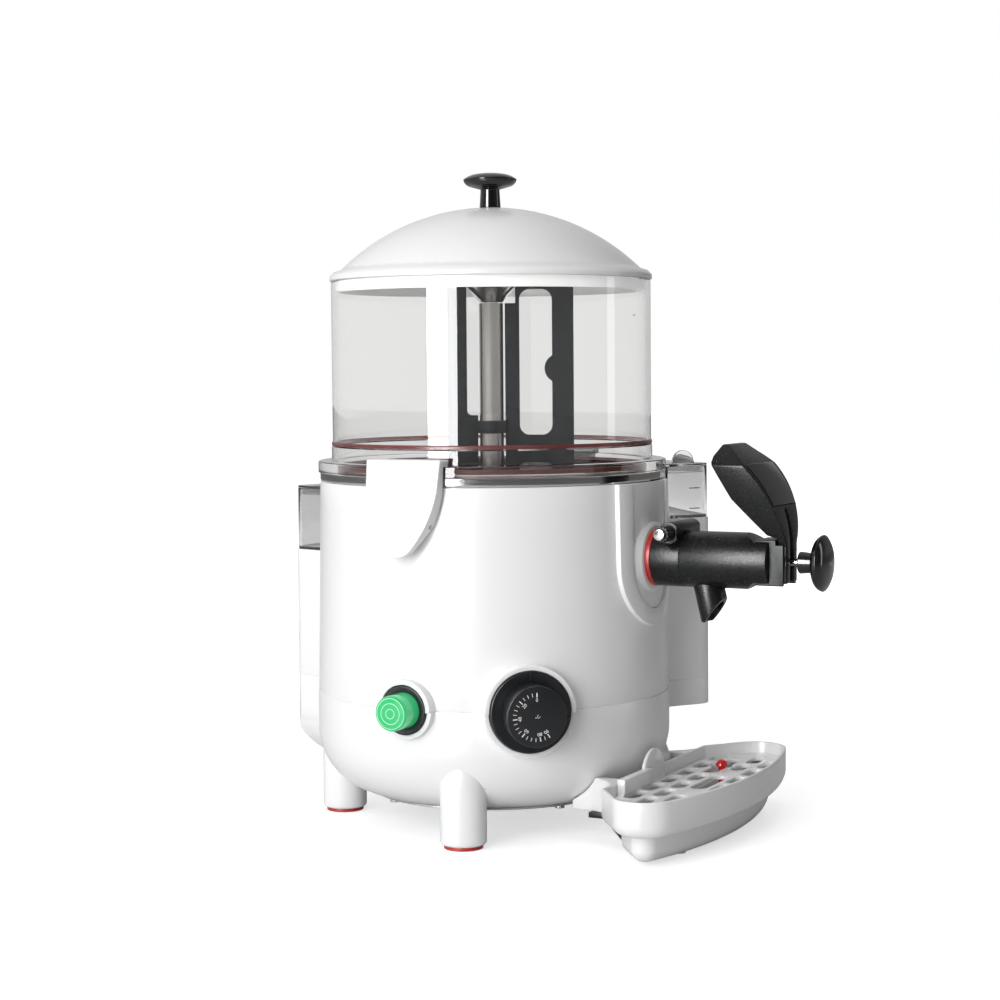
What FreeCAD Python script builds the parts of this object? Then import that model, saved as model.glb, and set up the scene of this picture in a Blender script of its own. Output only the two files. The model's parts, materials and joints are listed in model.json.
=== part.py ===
"""Hot chocolate dispenser with a heated five litre bowl, a stirrer and a piston tap.

The origin is on the axis of the round casing at table level.  +Z is up, the
tap points to -Y and the switch is on the -X side.  Lengths are millimetres and
angles are degrees.  Sub-parts that sit at an angle round the casing are drawn
with +X pointing outwards and are then turned about Z.
"""
import FreeCAD, Part
import math
import os

import Sketcher

SIZES = {
    # casing, two plastic shells that meet at the split
    "casing_rim_radius": 124.3,
    "casing_split_radius": 127.1,
    "casing_low_radius": 127.5,
    "casing_rim_height": 245.5,
    "casing_split_height": 94.6,
    "casing_floor_height": 22.0,
    "belly_round": 46.0,
    "shell_wall": 3.0,
    "lap_height": 5.0,
    "base_opening_radius": 80.0,
    "part_gap": 0.3,
    "running_gap": 0.05,
    # legs and feet
    "leg_circle": 113.0,
    "leg_angle": 16.5,
    "leg_radius": 16.0,
    "leg_shoulder_height": 46.0,
    "leg_top_height": 76.0,
    "foot_radius": 13.5,
    "foot_height": 2.5,
    "foot_plug_radius": 5.0,
    "foot_plug_length": 8.0,
    # base plate and its screws
    "base_plate_radius": 88.0,
    "base_plate_thickness": 1.5,
    "base_screw_circle": 84.0,
    "base_screw_radius": 1.5,
    "base_screw_head_radius": 3.5,
    "base_screw_head_height": 2.0,
    # housings behind the casing: water gauge and water tank
    "housing_round": 12.0,
    "housing_root": 100.0,
    "gauge_angle": -35.0,
    "gauge_half_width": 46.0,
    "gauge_reach": 161.5,
    "gauge_foot_height": 75.0,
    "gauge_shelf_height": 214.0,
    "gauge_glass_height": 252.0,
    "tank_angle": 75.0,
    "tank_half_width": 52.0,
    "tank_reach": 160.0,
    "tank_foot_height": 26.0,
    "tank_foot_round": 45.0,
    "tank_shelf_height": 190.0,
    "tank_glass_height": 236.0,
    "glass_wall": 2.0,
    "glass_lid_thickness": 2.0,
    "glass_lid_plug": 5.0,
    "lid_tab_radius": 9.5,
    "lid_tab_thickness": 2.0,
    "lid_tab_inset": 16.0,
    # recess in the casing for the tap
    "recess_half_width": 43.0,
    "recess_bottom_height": 145.0,
    "recess_proud": 3.0,
    "shield_half_width": 29.0,
    "shield_bottom_height": 157.0,
    "shield_proud": 1.4,
    "shield_wall": 2.5,
    "shield_boss_radius": 22.5,
    "shield_boss_root_radius": 28.0,
    "shield_boss_end": 128.0,
    # water jacket and product pan
    "jacket_radius": 112.0,
    "jacket_floor_height": 150.0,
    "jacket_round": 10.0,
    "jacket_rim_top_height": 251.5,
    "sheet_wall": 1.2,
    "pan_radius": 105.0,
    "pan_floor_height": 174.5,
    "pan_round": 14.0,
    "pan_flange_radius": 122.4,
    "pan_top_height": 254.0,
    "outlet_radius": 15.0,
    "outlet_end": 152.2,
    "outlet_bead_radius": 16.9,
    "outlet_bead_width": 1.4,
    # bowl and lid
    "bowl_radius": 115.0,
    "bowl_wall": 3.0,
    "bowl_step_radius": 115.8,
    "bowl_step_height": 270.0,
    "bowl_flange_radius": 125.5,
    "bowl_flange_height": 8.5,
    "bowl_top_height": 388.0,
    "bowl_seal_height": 3.2,
    "lid_radius": 116.0,
    "lid_top_height": 440.4,
    "lid_shoulder_radius": 108.0,
    "lid_shoulder_height": 396.0,
    "lid_dome_radius": 153.5,
    "lid_wall": 3.0,
    "lid_skirt_height": 380.0,
    "lid_skirt_wall": 2.5,
    "lid_screw_radius": 2.5,
    "lid_screw_head_radius": 6.0,
    # mushroom knob, the same on the lid and on the tap
    "knob_radius": 19.3,
    "knob_stem_radius": 7.6,
    "knob_length": 25.0,
    "knob_cap_start": 15.5,
    # stirrer drive
    "centre_tube_radius": 8.7,
    "centre_tube_wall": 1.1,
    "centre_tube_bottom_height": 140.0,
    "centre_tube_top_height": 372.0,
    "shaft_radius": 5.0,
    "shaft_bottom_height": 104.0,
    "shaft_top_height": 404.0,
    "bush_length": 9.0,
    "drive_cap_radius": 17.3,
    "drive_cap_height": 14.0,
    "stirrer_hub_radius": 14.0,
    "stirrer_hub_height": 13.0,
    "stirrer_nut_radius": 9.0,
    "stirrer_nut_height": 9.0,
    "stirrer_angle": -62.5,
    "stirrer_thickness": 5.0,
    "stirrer_reach": 59.4,
    "stirrer_short_reach": 32.0,
    "stirrer_short_bar": 14.3,
    "stirrer_short_window_height": 291.5,
    "stirrer_window_round": 7.5,
    "stirrer_window_top_height": 382.0,
    "stirrer_bump_radius": 10.5,
    "stirrer_bump_height": 325.0,
    "stirrer_bar_width": 15.5,
    "stirrer_inner_bar": 10.4,
    "stirrer_tube_gap": 1.2,
    "stirrer_mid_height": 277.0,
    "stirrer_mid_bar": 20.0,
    "stirrer_foot_reach": 95.0,
    "stirrer_foot_bar": 12.0,
    "stirrer_foot_round": 4.8,
    "stirrer_floor_gap": 4.0,
    "stirrer_collar_radius": 11.0,
    "stirrer_collar_height": 283.0,
    "stirrer_collar_width": 9.0,
    # gear motor under the jacket
    "gearbox_length": 84.0,
    "gearbox_width": 56.0,
    "gearbox_height": 26.0,
    "gearbox_top_height": 128.0,
    "motor_radius": 26.0,
    "motor_bottom_height": 42.0,
    "motor_offset": 18.0,
    "bracket_length": 116.0,
    "bracket_width": 76.0,
    "bracket_thickness": 2.0,
    "bracket_post_radius": 4.0,
    # heating ring and safety cut-out
    "heater_ring_radius": 76.0,
    "heater_tube_radius": 4.0,
    "heater_height": 161.0,
    "heater_tail_height": 132.0,
    "heater_tail_angle": 12.0,
    "cutout_radius": 9.0,
    "cutout_height": 8.0,
    "cutout_distance": 62.0,
    # switch and thermostat, set round the casing at the split
    "control_height": 95.6,
    "collar_seat_radius": 130.0,
    "collar_upper_lip": 4.0,
    "collar_lower_lip": 1.5,
    "switch_angle": 180.0,
    "switch_collar_radius": 20.5,
    "switch_bezel_radius": 17.0,
    "switch_bezel_depth": 4.0,
    "switch_button_radius": 12.0,
    "switch_button_end": 151.0,
    "switch_travel": 3.0,
    "switch_neck_radius": 13.5,
    "switch_body_side": 26.0,
    "switch_body_inner": 94.0,
    "switch_body_outer": 120.0,
    "thermostat_angle": 218.0,
    "thermostat_collar_radius": 31.5,
    "thermostat_bezel_radius": 27.8,
    "thermostat_bezel_depth": 6.0,
    "thermostat_knob_radius": 20.4,
    "thermostat_knob_end": 155.0,
    "thermostat_spindle_radius": 3.0,
    "thermostat_bush_radius": 8.0,
    "thermostat_body_side": 36.0,
    "thermostat_body_inner": 92.0,
    "thermostat_body_outer": 118.8,
    # mains inlet gland and terminal block
    "gland_angle": 42.0,
    "gland_height": 76.0,
    "gland_bore_radius": 4.0,
    "gland_body_radius": 7.0,
    "gland_flange_radius": 10.0,
    "gland_end": 136.0,
    "terminal_length": 40.0,
    "terminal_width": 18.0,
    "terminal_height": 16.0,
    "terminal_distance": 58.0,
    # side latches
    "latch_half_width": 28.5,
    "latch_waist_half_width": 27.5,
    "latch_waist_height": 243.0,
    "latch_tip_half_width": 9.0,
    "latch_tip_shoulder_height": 202.5,
    "latch_tip_height": 199.0,
    "latch_side_round": 78.0,
    "latch_tip_round": 13.5,
    "latch_face_top": 130.0,
    "latch_face_tip": 141.0,
    "latch_hook_inner": 117.5,
    "latch_hook_thickness": 4.0,
    "latch_hook_gap": 0.5,
    "latch_wall": 3.0,
    "latch_back": 124.4,
    "latch_pivot_height": 220.0,
    "latch_pivot_distance": 128.6,
    "latch_pin_radius": 1.5,
    "latch_pin_half_length": 19.0,
    "latch_ear_half_width": 14.5,
    "latch_ear_radius": 4.0,
    # tap
    "tap_height": 192.5,
    "tap_radius": 19.5,
    "tap_bore_radius": 12.0,
    "tap_seal_width": 3.5,
    "tap_seam": 153.2,
    "tap_mouth": 216.5,
    "tap_flat_start": 197.5,
    "tap_flat_end": 206.0,
    "tap_flat_height": 13.6,
    "tap_collar_wall": 2.4,
    "lock_boss_radius": 7.5,
    "lock_boss_distance": 147.0,
    "lock_boss_rise": 19.0,
    "lock_boss_near": 22.0,
    "lock_boss_far": 21.0,
    "lock_pin_radius": 3.8,
    "lock_pin_reach": 39.0,
    "lock_grip_radius": 5.4,
    "lock_grip_length": 12.5,
    "lock_grip_flutes": 12.0,
    "spout_radius": 10.5,
    "spout_bore_radius": 7.5,
    "spout_lean": 13.5,
    "spout_distance": 168.0,
    "spout_root_drop": 17.5,
    "spout_tip_drop": 43.2,
    "spout_cut_start": 168.1,
    "spout_cut_rise": 16.0,
    "spout_cut_run": 11.6,
    "piston_length": 30.0,
    "piston_start": 160.0,
    "piston_ring_width": 2.4,
    "piston_ring_depth": 1.6,
    "rod_radius": 5.0,
    "neck_radius": 2.4,
    "neck_start": 218.8,
    "neck_length": 15.7,
    "yoke_start": 216.5,
    "yoke_thickness": 5.0,
    "yoke_half_width": 13.0,
    "yoke_tab_length": 15.0,
    "yoke_tab_thickness": 2.0,
    "yoke_cheek_end": 227.0,
    "spring_radius": 8.5,
    "spring_wire_width": 1.5,
    "spring_turns": 7.0,
    "spring_free_room": 9.2,
    "tap_knob_start": 234.5,
    "tap_knob_length": 21.4,
    # lever of the tap
    "lever_pivot": 225.5,
    "lever_pin_radius": 1.5,
    "lever_heel_height": 178.4,
    "lever_front": 228.6,
    "lever_knee_height": 199.0,
    "lever_brow": 196.0,
    "lever_brow_height": 267.0,
    "lever_front_round": 81.0,
    "lever_top_height": 272.8,
    "lever_top_distance": 189.0,
    "lever_top_half_width": 16.0,
    "lever_back": 181.0,
    "lever_back_height": 261.0,
    "lever_back_top_height": 265.0,
    "lever_waist_distance": 194.0,
    "lever_waist_height": 236.0,
    "lever_throat_distance": 215.7,
    "lever_throat_height": 211.2,
    "lever_slot_width": 6.0,
    "lever_slot_top_width": 3.6,
    "lever_slot_top_height": 229.0,
    "lever_heel_half_width": 10.8,
    "lever_neck_height": 205.0,
    "lever_wide_half_width": 31.0,
    "lever_wide_height": 259.0,
    "lever_side_round": 163.0,
    "lever_plate_depth": 1.4,
    "lever_plate_top_height": 259.6,
    "lever_plate_bottom_height": 231.8,
    "lever_plate_top_half_width": 26.0,
    "lever_plate_bottom_half_width": 21.4,
    # drip tray
    "tray_back": 127.0,
    "tray_front": 202.5,
    "tray_bow_radius": 350.0,
    "tray_end_radius": 22.0,
    "tray_end_distance": 164.0,
    "tray_end_angle": 53.0,
    "tray_rim_height": 45.2,
    "tray_step_height": 20.5,
    "tray_floor_height": 2.5,
    "tray_wall": 2.4,
    "tray_basin_inset": 12.5,
    "tray_bottom_round": 8.0,
    "tray_stud_radius": 5.0,
    "tray_stud_offset": 60.0,
    "tray_stud_near": 153.0,
    "tray_stud_far": 170.0,
    "wing_inner": 53.0,
    "wing_thickness": 4.5,
    "wing_flare": 34.0,
    "wing_flare_distance": 104.0,
    "wing_end_distance": 90.0,
    "wing_bottom_height": 22.0,
    "grille_top_height": 37.0,
    "grille_thickness": 3.0,
    "grille_skirt": 2.0,
    "grille_slot_length": 25.0,
    "grille_slot_width": 10.0,
    "grille_pitch": 30.4,
    "grille_middle": 161.0,
    "grille_row_pitch": 14.5,
    "finger_tab_radius": 19.0,
    "finger_tab_rise": 4.0,
    "finger_tab_thickness": 2.5,
    "finger_tab_offset": -12.0,
    "finger_ledge_height": 11.0,
    "finger_ledge_depth": 6.0,
    "finger_ledge_end": -71.0,
    "float_offset": 61.0,
    "float_distance": 153.5,
    "float_radius": 4.6,
    "float_stem_radius": 2.5,
    "float_disc_radius": 8.0,
    "float_disc_height": 8.0,
    "float_top_height": 41.5,
    "float_hole_gap": 3.4,
    "hook_width": 13.0,
    "hook_root": 104.0,
    "hook_bend": 118.0,
    "hook_toe": 131.0,
    "hook_drop": 14.0,
    "hook_thickness": 4.0,
}

doc = FreeCAD.newDocument("HotChocolateDispenser")


class Size:
    """A value together with the sheet expression that gives it."""

    def __init__(self, value, text):
        self.value = float(value)
        self.text = text

    def _join(self, other, sign, value):
        return Size(value, f"({self.text} {sign} {size(other).text})")

    def __add__(self, other):
        return self._join(other, "+", self.value + size(other).value)

    def __sub__(self, other):
        return self._join(other, "-", self.value - size(other).value)

    def __mul__(self, other):
        return self._join(other, "*", self.value * size(other).value)

    def __truediv__(self, other):
        return self._join(other, "/", self.value / size(other).value)

    def __radd__(self, other):
        return size(other) + self

    def __rsub__(self, other):
        return size(other) - self

    def __rmul__(self, other):
        return size(other) * self

    def __neg__(self):
        return size(0) - self


def size(number):
    """A plain number as a Size, so that both kinds can be mixed."""
    return number if isinstance(number, Size) else Size(number, repr(float(number)))


def sin(angle):
    angle = size(angle)
    return Size(math.sin(math.radians(angle.value)), f"sin({angle.text})")


def cos(angle):
    angle = size(angle)
    return Size(math.cos(math.radians(angle.value)), f"cos({angle.text})")


def root(number):
    """Square root of a Size."""
    return Size(math.sqrt(number.value), f"sqrt({number.text})")


def make_sheet():
    """The spreadsheet that keeps the driving dimensions; returns them as Sizes."""
    sheet = doc.addObject("Spreadsheet::Sheet", "Dims")
    for row, (alias, number) in enumerate(SIZES.items(), start=1):
        sheet.set(f"A{row}", alias)
        sheet.set(f"B{row}", str(number))
        sheet.setAlias(f"B{row}", alias)
    doc.recompute()

    class Sizes:
        pass

    sizes = Sizes()
    for alias in SIZES:
        setattr(sizes, alias, Size(sheet.get(alias), f"Dims.{alias}"))
    return sizes


d = make_sheet()
OVER = Size(1.0, "1")  # how far a cutting tool runs past what it cuts
KNOB_CROWN_SHARE = 0.55  # a knob's flat crown, as a share of its widest radius
KNOB_BRIM_SHARE = 0.8  # where its cap begins to round over
KNOB_NECK_SHARE = 0.9  # the waist of its stem, as a share of the stem's foot


# ---------------------------------------------------------------- drawing tools


def bind(thing, prop, number):
    """Tie a property to the sheet."""
    thing.setExpression(prop, size(number).text)


DIRECTIONS = {
    "+z": FreeCAD.Rotation(),
    "-z": FreeCAD.Rotation(FreeCAD.Vector(1, 0, 0), 180),
    "+x": FreeCAD.Rotation(FreeCAD.Vector(0, 1, 0), 90),
    "-x": FreeCAD.Rotation(FreeCAD.Vector(0, 1, 0), -90),
    "+y": FreeCAD.Rotation(FreeCAD.Vector(1, 0, 0), -90),
    "-y": FreeCAD.Rotation(FreeCAD.Vector(1, 0, 0), 90),
}


def place(thing, at=(0, 0, 0), along="+z"):
    """Put a thing at a point, with its own Z axis along one of the main directions."""
    turn = DIRECTIONS[along]
    point = FreeCAD.Vector(*(size(c).value for c in at))
    thing.Placement = FreeCAD.Placement(point, turn)
    for axis, number in zip("xyz", at):
        bind(thing, f"Placement.Base.{axis}", number)
    return thing


def turn_about_z(thing, angle):
    """Swing a thing that is drawn with +X outwards to its angle round the casing."""
    thing.Placement = FreeCAD.Placement(
        FreeCAD.Vector(), FreeCAD.Rotation(FreeCAD.Vector(0, 0, 1), 0))
    bind(thing, "Placement.Rotation.Angle", angle)
    return thing


def cylinder(name, radius, length, at=(0, 0, 0), along="+z"):
    thing = doc.addObject("Part::Cylinder", name)
    bind(thing, "Radius", radius)
    bind(thing, "Height", length)
    return place(thing, at, along)


def block(name, low, high):
    """A box between two corners."""
    thing = doc.addObject("Part::Box", name)
    for prop, a, b in zip(("Length", "Width", "Height"), low, high):
        bind(thing, prop, size(b) - size(a))
    return place(thing, low)


def fuse(name, *things):
    thing = doc.addObject("Part::MultiFuse", name)
    thing.Shapes = list(things)
    return thing


def common(name, *things):
    thing = doc.addObject("Part::MultiCommon", name)
    thing.Shapes = list(things)
    return thing


def cut(name, base, *tools):
    """Base less the tools."""
    tool = tools[0] if len(tools) == 1 else fuse(f"{name}_tools", *tools)
    thing = doc.addObject("Part::Cut", name)
    thing.Base = base
    thing.Tool = tool
    return thing


def group(name, *things):
    """Separate solids that are one sub-part."""
    thing = doc.addObject("Part::Compound", name)
    thing.Links = list(things)
    return thing


class Outline:
    """A closed outline of lines and arcs that becomes a fully tied sketch.

    corner(x, y) adds a sharp corner and corner(x, y, r) a rounded one.
    arc(x, y, r) runs to a sharp corner on an arc that bulges to the right of
    its way for a positive r and to the left for a negative one.
    """

    def __init__(self):
        self.points = []

    def corner(self, x, y, rounding=None):
        self.points.append((size(x), size(y), rounding, None))
        return self

    def arc(self, x, y, radius):
        self.points.append((size(x), size(y), None, size(radius)))
        return self


def vector(x, y):
    return FreeCAD.Vector(x, y, 0)


def tangent_points(before, here, after, radius):
    """Where a corner's rounding leaves its two sides, and its centre."""
    back = (before - here).normalize()
    ahead = (after - here).normalize()
    half = math.acos(max(-1.0, min(1.0, back.dot(ahead)))) / 2
    reach = radius / math.tan(half)
    middle = (back + ahead).normalize()
    return here + back * reach, here + ahead * reach, here + middle * (radius / math.sin(half))


def arc_between(start, end, radius):
    """Short arc from start to end; it bulges right for a positive radius."""
    chord = end - start
    half = chord.Length / 2
    side = FreeCAD.Vector(chord.y, -chord.x, 0).normalize()
    size_of_arc = abs(radius)
    drop = math.sqrt(max(size_of_arc ** 2 - half ** 2, 0.0))
    rise = size_of_arc - drop
    bulge = 1 if radius > 0 else -1
    crown = (start + end) * 0.5 + side * (bulge * rise)
    return Part.Arc(start, crown, end)


def pin_point(sketch, geometry, position, x, y):
    """Hold a sketch point at sheet-driven coordinates."""
    for kind, number in (("DistanceX", x), ("DistanceY", y)):
        index = sketch.addConstraint(
            Sketcher.Constraint(kind, -1, 1, geometry, position, number.value))
        sketch.setExpression(f"Constraints[{index}]", number.text)


def hold_radius(sketch, geometry, radius):
    index = sketch.addConstraint(Sketcher.Constraint("Radius", geometry, radius.value))
    sketch.setExpression(f"Constraints[{index}]", radius.text)


def draw(sketch, outline):
    """Put an outline into a sketch, with every size tied to the sheet."""
    points = outline.points
    count = len(points)
    spots = [vector(x.value, y.value) for x, y, _, _ in points]
    leave = list(spots)
    arrive = list(spots)
    roundings = {}
    for i, (_, _, rounding, _) in enumerate(points):
        if rounding is None:
            continue
        radius = size(rounding)
        start, end, centre = tangent_points(
            spots[i - 1], spots[i], spots[(i + 1) % count], radius.value)
        arrive[i], leave[i] = start, end
        roundings[i] = (radius, start, end, centre)

    sides = []  # (geometry, position at its start, position at its end)
    for i in range(count):
        after = (i + 1) % count
        bend = points[after][3]
        if bend is None:
            line = Part.LineSegment(leave[i], arrive[after])
            sides.append((sketch.addGeometry(line, False), 1, 2))
        else:
            arc = arc_between(leave[i], arrive[after], bend.value)
            anticlockwise = arc.toShape().Curve.Axis.z > 0
            geometry = sketch.addGeometry(arc, False)
            sides.append((geometry,) + ((1, 2) if anticlockwise else (2, 1)))
            hold_radius(sketch, geometry, Size(abs(bend.value), f"abs({bend.text})"))

    for i, (x, y, _, _) in enumerate(points):
        before, _, before_end = sides[i - 1]
        here, here_start, _ = sides[i]
        if i not in roundings:
            sketch.addConstraint(
                Sketcher.Constraint("Coincident", before, before_end, here, here_start))
            pin_point(sketch, here, here_start, x, y)
            continue
        radius, start, end, centre = roundings[i]
        inwards = (start - centre).normalize() + (end - centre).normalize()
        crown = centre + inwards.normalize() * radius.value
        arc = Part.Arc(start, crown, end)
        anticlockwise = arc.toShape().Curve.Axis.z > 0
        geometry = sketch.addGeometry(arc, False)
        first, last = (1, 2) if anticlockwise else (2, 1)
        corner = sketch.addGeometry(Part.Point(spots[i]), True)
        pin_point(sketch, corner, 1, x, y)
        sketch.addConstraint(Sketcher.Constraint("PointOnObject", corner, 1, before))
        sketch.addConstraint(Sketcher.Constraint("PointOnObject", corner, 1, here))
        sketch.addConstraint(
            Sketcher.Constraint("Tangent", before, before_end, geometry, first))
        sketch.addConstraint(
            Sketcher.Constraint("Tangent", here, here_start, geometry, last))
        hold_radius(sketch, geometry, radius)


def body_with_sketch(name, plane, outline):
    """A PartDesign body with one sketch on one of its own origin planes."""
    body = doc.addObject("PartDesign::Body", name)
    sketch = body.newObject("Sketcher::SketchObject", f"{name}_sketch")
    support = [f for f in body.Origin.OriginFeatures if f.Role == f"{plane}_Plane"][0]
    sketch.AttachmentSupport = (support, [""])
    sketch.MapMode = "FlatFace"
    draw(sketch, outline)
    return body, sketch


def turned(name, outline):
    """A body of revolution about Z; the outline gives radius and height."""
    body, sketch = body_with_sketch(name, "XZ", outline)
    feature = body.newObject("PartDesign::Revolution", f"{name}_turn")
    feature.Profile = sketch
    feature.ReferenceAxis = (sketch, ["V_Axis"])
    feature.Angle = 360
    return body


def plate(name, outline, bottom, top):
    """A plate that lies flat, drawn in X and Y, between two heights."""
    body, sketch = body_with_sketch(name, "XY", outline)
    feature = body.newObject("PartDesign::Pad", f"{name}_pad")
    feature.Profile = sketch
    bind(feature, "Length", size(top) - size(bottom))
    place(body, (0, 0, bottom))
    return body


def profile(name, outline, half_width):
    """A slab drawn in X and Z, that reaches the same way to both sides along Y."""
    body, sketch = body_with_sketch(name, "XZ", outline)
    feature = body.newObject("PartDesign::Pad", f"{name}_pad")
    feature.Profile = sketch
    bind(feature, "Length", size(half_width) * 2)
    place(body, (0, half_width, 0))
    return body


def front(name, outline, near, far):
    """A slab drawn in Y and Z, from near to far along X."""
    body, sketch = body_with_sketch(name, "YZ", outline)
    feature = body.newObject("PartDesign::Pad", f"{name}_pad")
    feature.Profile = sketch
    bind(feature, "Length", size(far) - size(near))
    place(body, (near, 0, 0))
    return body


def ring(name, inner, outer, bottom, top):
    """A plain ring about Z."""
    outline = Outline().corner(inner, bottom).corner(outer, bottom)
    outline.corner(outer, top).corner(inner, top)
    return turned(name, outline)


def mirrored_pair(points):
    """Outline through points on the +X side and back through their mirror images."""
    outline = Outline()
    for x, y, rounding in points:
        outline.corner(x, y, rounding)
    for x, y, rounding in reversed(points):
        outline.corner(-size(x), y, rounding)
    return outline


PARTS = []


def keep(label, thing):
    """Make a thing a sub-part under its own label."""
    thing.Label = label
    PARTS.append(thing)
    return thing


# ---------------------------------------------------------------- casing


def casing_radius(height):
    """Outer radius of the upper shell at a height."""
    share = (size(height) - d.casing_split_height) / (d.casing_rim_height - d.casing_split_height)
    return d.casing_split_radius - (d.casing_split_radius - d.casing_rim_radius) * share


GAUGE = (d.gauge_angle, d.gauge_half_width, d.gauge_reach)
TANK = (d.tank_angle, d.tank_half_width, d.tank_reach)


def housing_plan(half_width, reach, rounding):
    """Plan of a housing that stands behind the casing."""
    outline = Outline().corner(d.housing_root, -half_width)
    outline.corner(reach, -half_width, rounding).corner(reach, half_width, rounding)
    return outline.corner(d.housing_root, half_width)


def housing(name, place_of, bottom, top, inset=0):
    """Upright housing block; inset gives its hollow."""
    angle, half_width, reach = place_of
    plan = housing_plan(half_width - inset, reach - inset, d.housing_round - inset)
    return turn_about_z_at(plate(name, plan, bottom, top), angle, bottom)


def turn_about_z_at(thing, angle, height):
    """Swing a plate that stands at a height."""
    turn_about_z(thing, angle)
    bind(thing, "Placement.Base.z", height)
    return thing


def radial_cylinder(name, radius, start, end, angle, height):
    """A round boss that points outwards at an angle round the casing."""
    thing = cylinder(f"{name}_form", radius, end - start, (start, 0, height), "+x")
    return turn_about_z(fuse_one(name, thing), angle)


def fuse_one(name, thing):
    """A thing wrapped so that it can be swung as a whole."""
    return group(name, thing)


def collars(name, lip):
    """Round bosses that carry the switch and the thermostat."""
    seat = d.collar_seat_radius
    return (
        radial_cylinder(f"{name}_switch_collar", d.switch_collar_radius,
                        d.housing_root, seat + lip, d.switch_angle, d.control_height),
        radial_cylinder(f"{name}_thermostat_collar", d.thermostat_collar_radius,
                        d.housing_root, seat + lip, d.thermostat_angle, d.control_height),
    )


def collar_holes(name):
    """Seats for the two bezels and the holes behind them."""
    seat = d.collar_seat_radius
    far = seat + d.collar_upper_lip + OVER
    height = d.control_height
    return (
        radial_cylinder(f"{name}_switch_seat", d.switch_bezel_radius + d.part_gap,
                        seat, far, d.switch_angle, height),
        radial_cylinder(f"{name}_switch_hole", d.switch_neck_radius + d.running_gap,
                        d.housing_root, far, d.switch_angle, height),
        radial_cylinder(f"{name}_thermostat_seat", d.thermostat_bezel_radius + d.part_gap,
                        seat, far, d.thermostat_angle, height),
        radial_cylinder(f"{name}_thermostat_hole", d.thermostat_bush_radius + d.running_gap,
                        d.housing_root, far, d.thermostat_angle, height),
    )


def recess_plan(half_width, bottom, top):
    """Upright outline, open at the top, with a half-round bottom."""
    middle = bottom + half_width
    outline = Outline().corner(-half_width, top).corner(-half_width, middle)
    outline.arc(0, bottom, half_width).arc(half_width, middle, half_width)
    return outline.corner(half_width, top)


def front_slab(name, half_width, bottom, top, near, far):
    """The recess outline as a slab on the -Y side, from near to far off the axis."""
    slab = profile(name, recess_plan(half_width, bottom, top), (far - near) / 2)
    bind(slab, "Placement.Base.y", -near)
    return slab


def casing_band(name, offset_in, offset_out, bottom, top):
    """A turned band that follows the taper of the upper shell."""
    outline = Outline().corner(casing_radius(bottom) + offset_in, bottom)
    outline.corner(casing_radius(bottom) + offset_out, bottom)
    outline.corner(casing_radius(top) + offset_out, top)
    outline.corner(casing_radius(top) + offset_in, top)
    return turned(name, outline)


def latch_ears(name):
    """Bosses on the shell that hold the latch pins, one each side."""
    ears = []
    for side, angle in (("left", 180.0), ("right", 0.0)):
        half = d.latch_ear_half_width
        boss = cylinder(f"{name}_{side}_boss", d.latch_ear_radius, half * 2,
                        (d.latch_pivot_distance, half, d.latch_pivot_height), "-y")
        base = block(f"{name}_{side}_base",
                     (d.housing_root, -half, d.latch_pivot_height - d.latch_ear_radius),
                     (d.latch_pivot_distance, half, d.latch_pivot_height + d.latch_ear_radius))
        ears.append(turn_about_z(fuse(f"{name}_{side}", boss, base), angle))
    return ears


def pin_holes(name, radius):
    """Holes for the latch pins."""
    half = d.latch_half_width
    holes = []
    for side, angle in (("left", 180.0), ("right", 0.0)):
        hole = cylinder(f"{name}_{side}_form", radius, half * 2,
                        (d.latch_pivot_distance, half, d.latch_pivot_height), "-y")
        holes.append(turn_about_z(fuse_one(f"{name}_{side}", hole), angle))
    return holes


def make_upper_shell():
    split, rim = d.casing_split_height, d.casing_rim_height
    wall = d.shell_wall
    form = turned("upper_form", Outline().corner(0, split)
                  .corner(d.casing_split_radius, split)
                  .corner(d.casing_rim_radius, rim).corner(0, rim))
    mouth = d.jacket_radius + OVER
    hollow = turned("upper_hollow", Outline().corner(0, split - OVER)
                    .corner(d.casing_split_radius - wall, split - OVER)
                    .corner(d.casing_rim_radius - wall, rim - wall)
                    .corner(mouth, rim - wall).corner(mouth, rim + OVER).corner(0, rim + OVER))
    border = common(
        "recess_border",
        front_slab("recess_border_slab", d.recess_half_width, d.recess_bottom_height, rim,
                   d.housing_root, d.casing_split_radius + d.recess_proud + OVER),
        casing_band("recess_border_band", -wall, d.recess_proud, d.recess_bottom_height, rim))
    slot = front_slab("recess_slot", d.shield_half_width + d.part_gap,
                      d.shield_bottom_height - d.part_gap, rim + OVER,
                      d.housing_root, d.casing_split_radius + d.recess_proud + OVER)
    outer = fuse("upper_outer", form, border,
                 housing("gauge_upper", GAUGE, split, d.gauge_shelf_height),
                 housing("tank_upper", TANK, split, d.tank_shelf_height),
                 *collars("upper", d.collar_upper_lip))
    inner = fuse("upper_inner", hollow, slot,
                 housing("gauge_upper_hollow", GAUGE, split - OVER,
                         d.gauge_shelf_height - wall, wall),
                 housing("tank_upper_hollow", TANK, split - OVER,
                         d.tank_shelf_height - wall, wall))
    below = cylinder("below_split", d.tank_reach * 2, split, (0, 0, 0))
    shell = cut("upper_cut", outer, inner, below, *collar_holes("upper"))
    with_ears = fuse("upper_with_ears", shell,
                     common("ears_outside", fuse("ears", *latch_ears("ear")),
                            ring("ear_zone", casing_radius(d.latch_pivot_height) - wall / 2,
                                 d.tank_reach, split, rim)))
    keep("upper_shell", cut("upper_shell_cut", with_ears,
                            *pin_holes("ear_hole", d.latch_pin_radius + d.running_gap / 2)))


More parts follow.
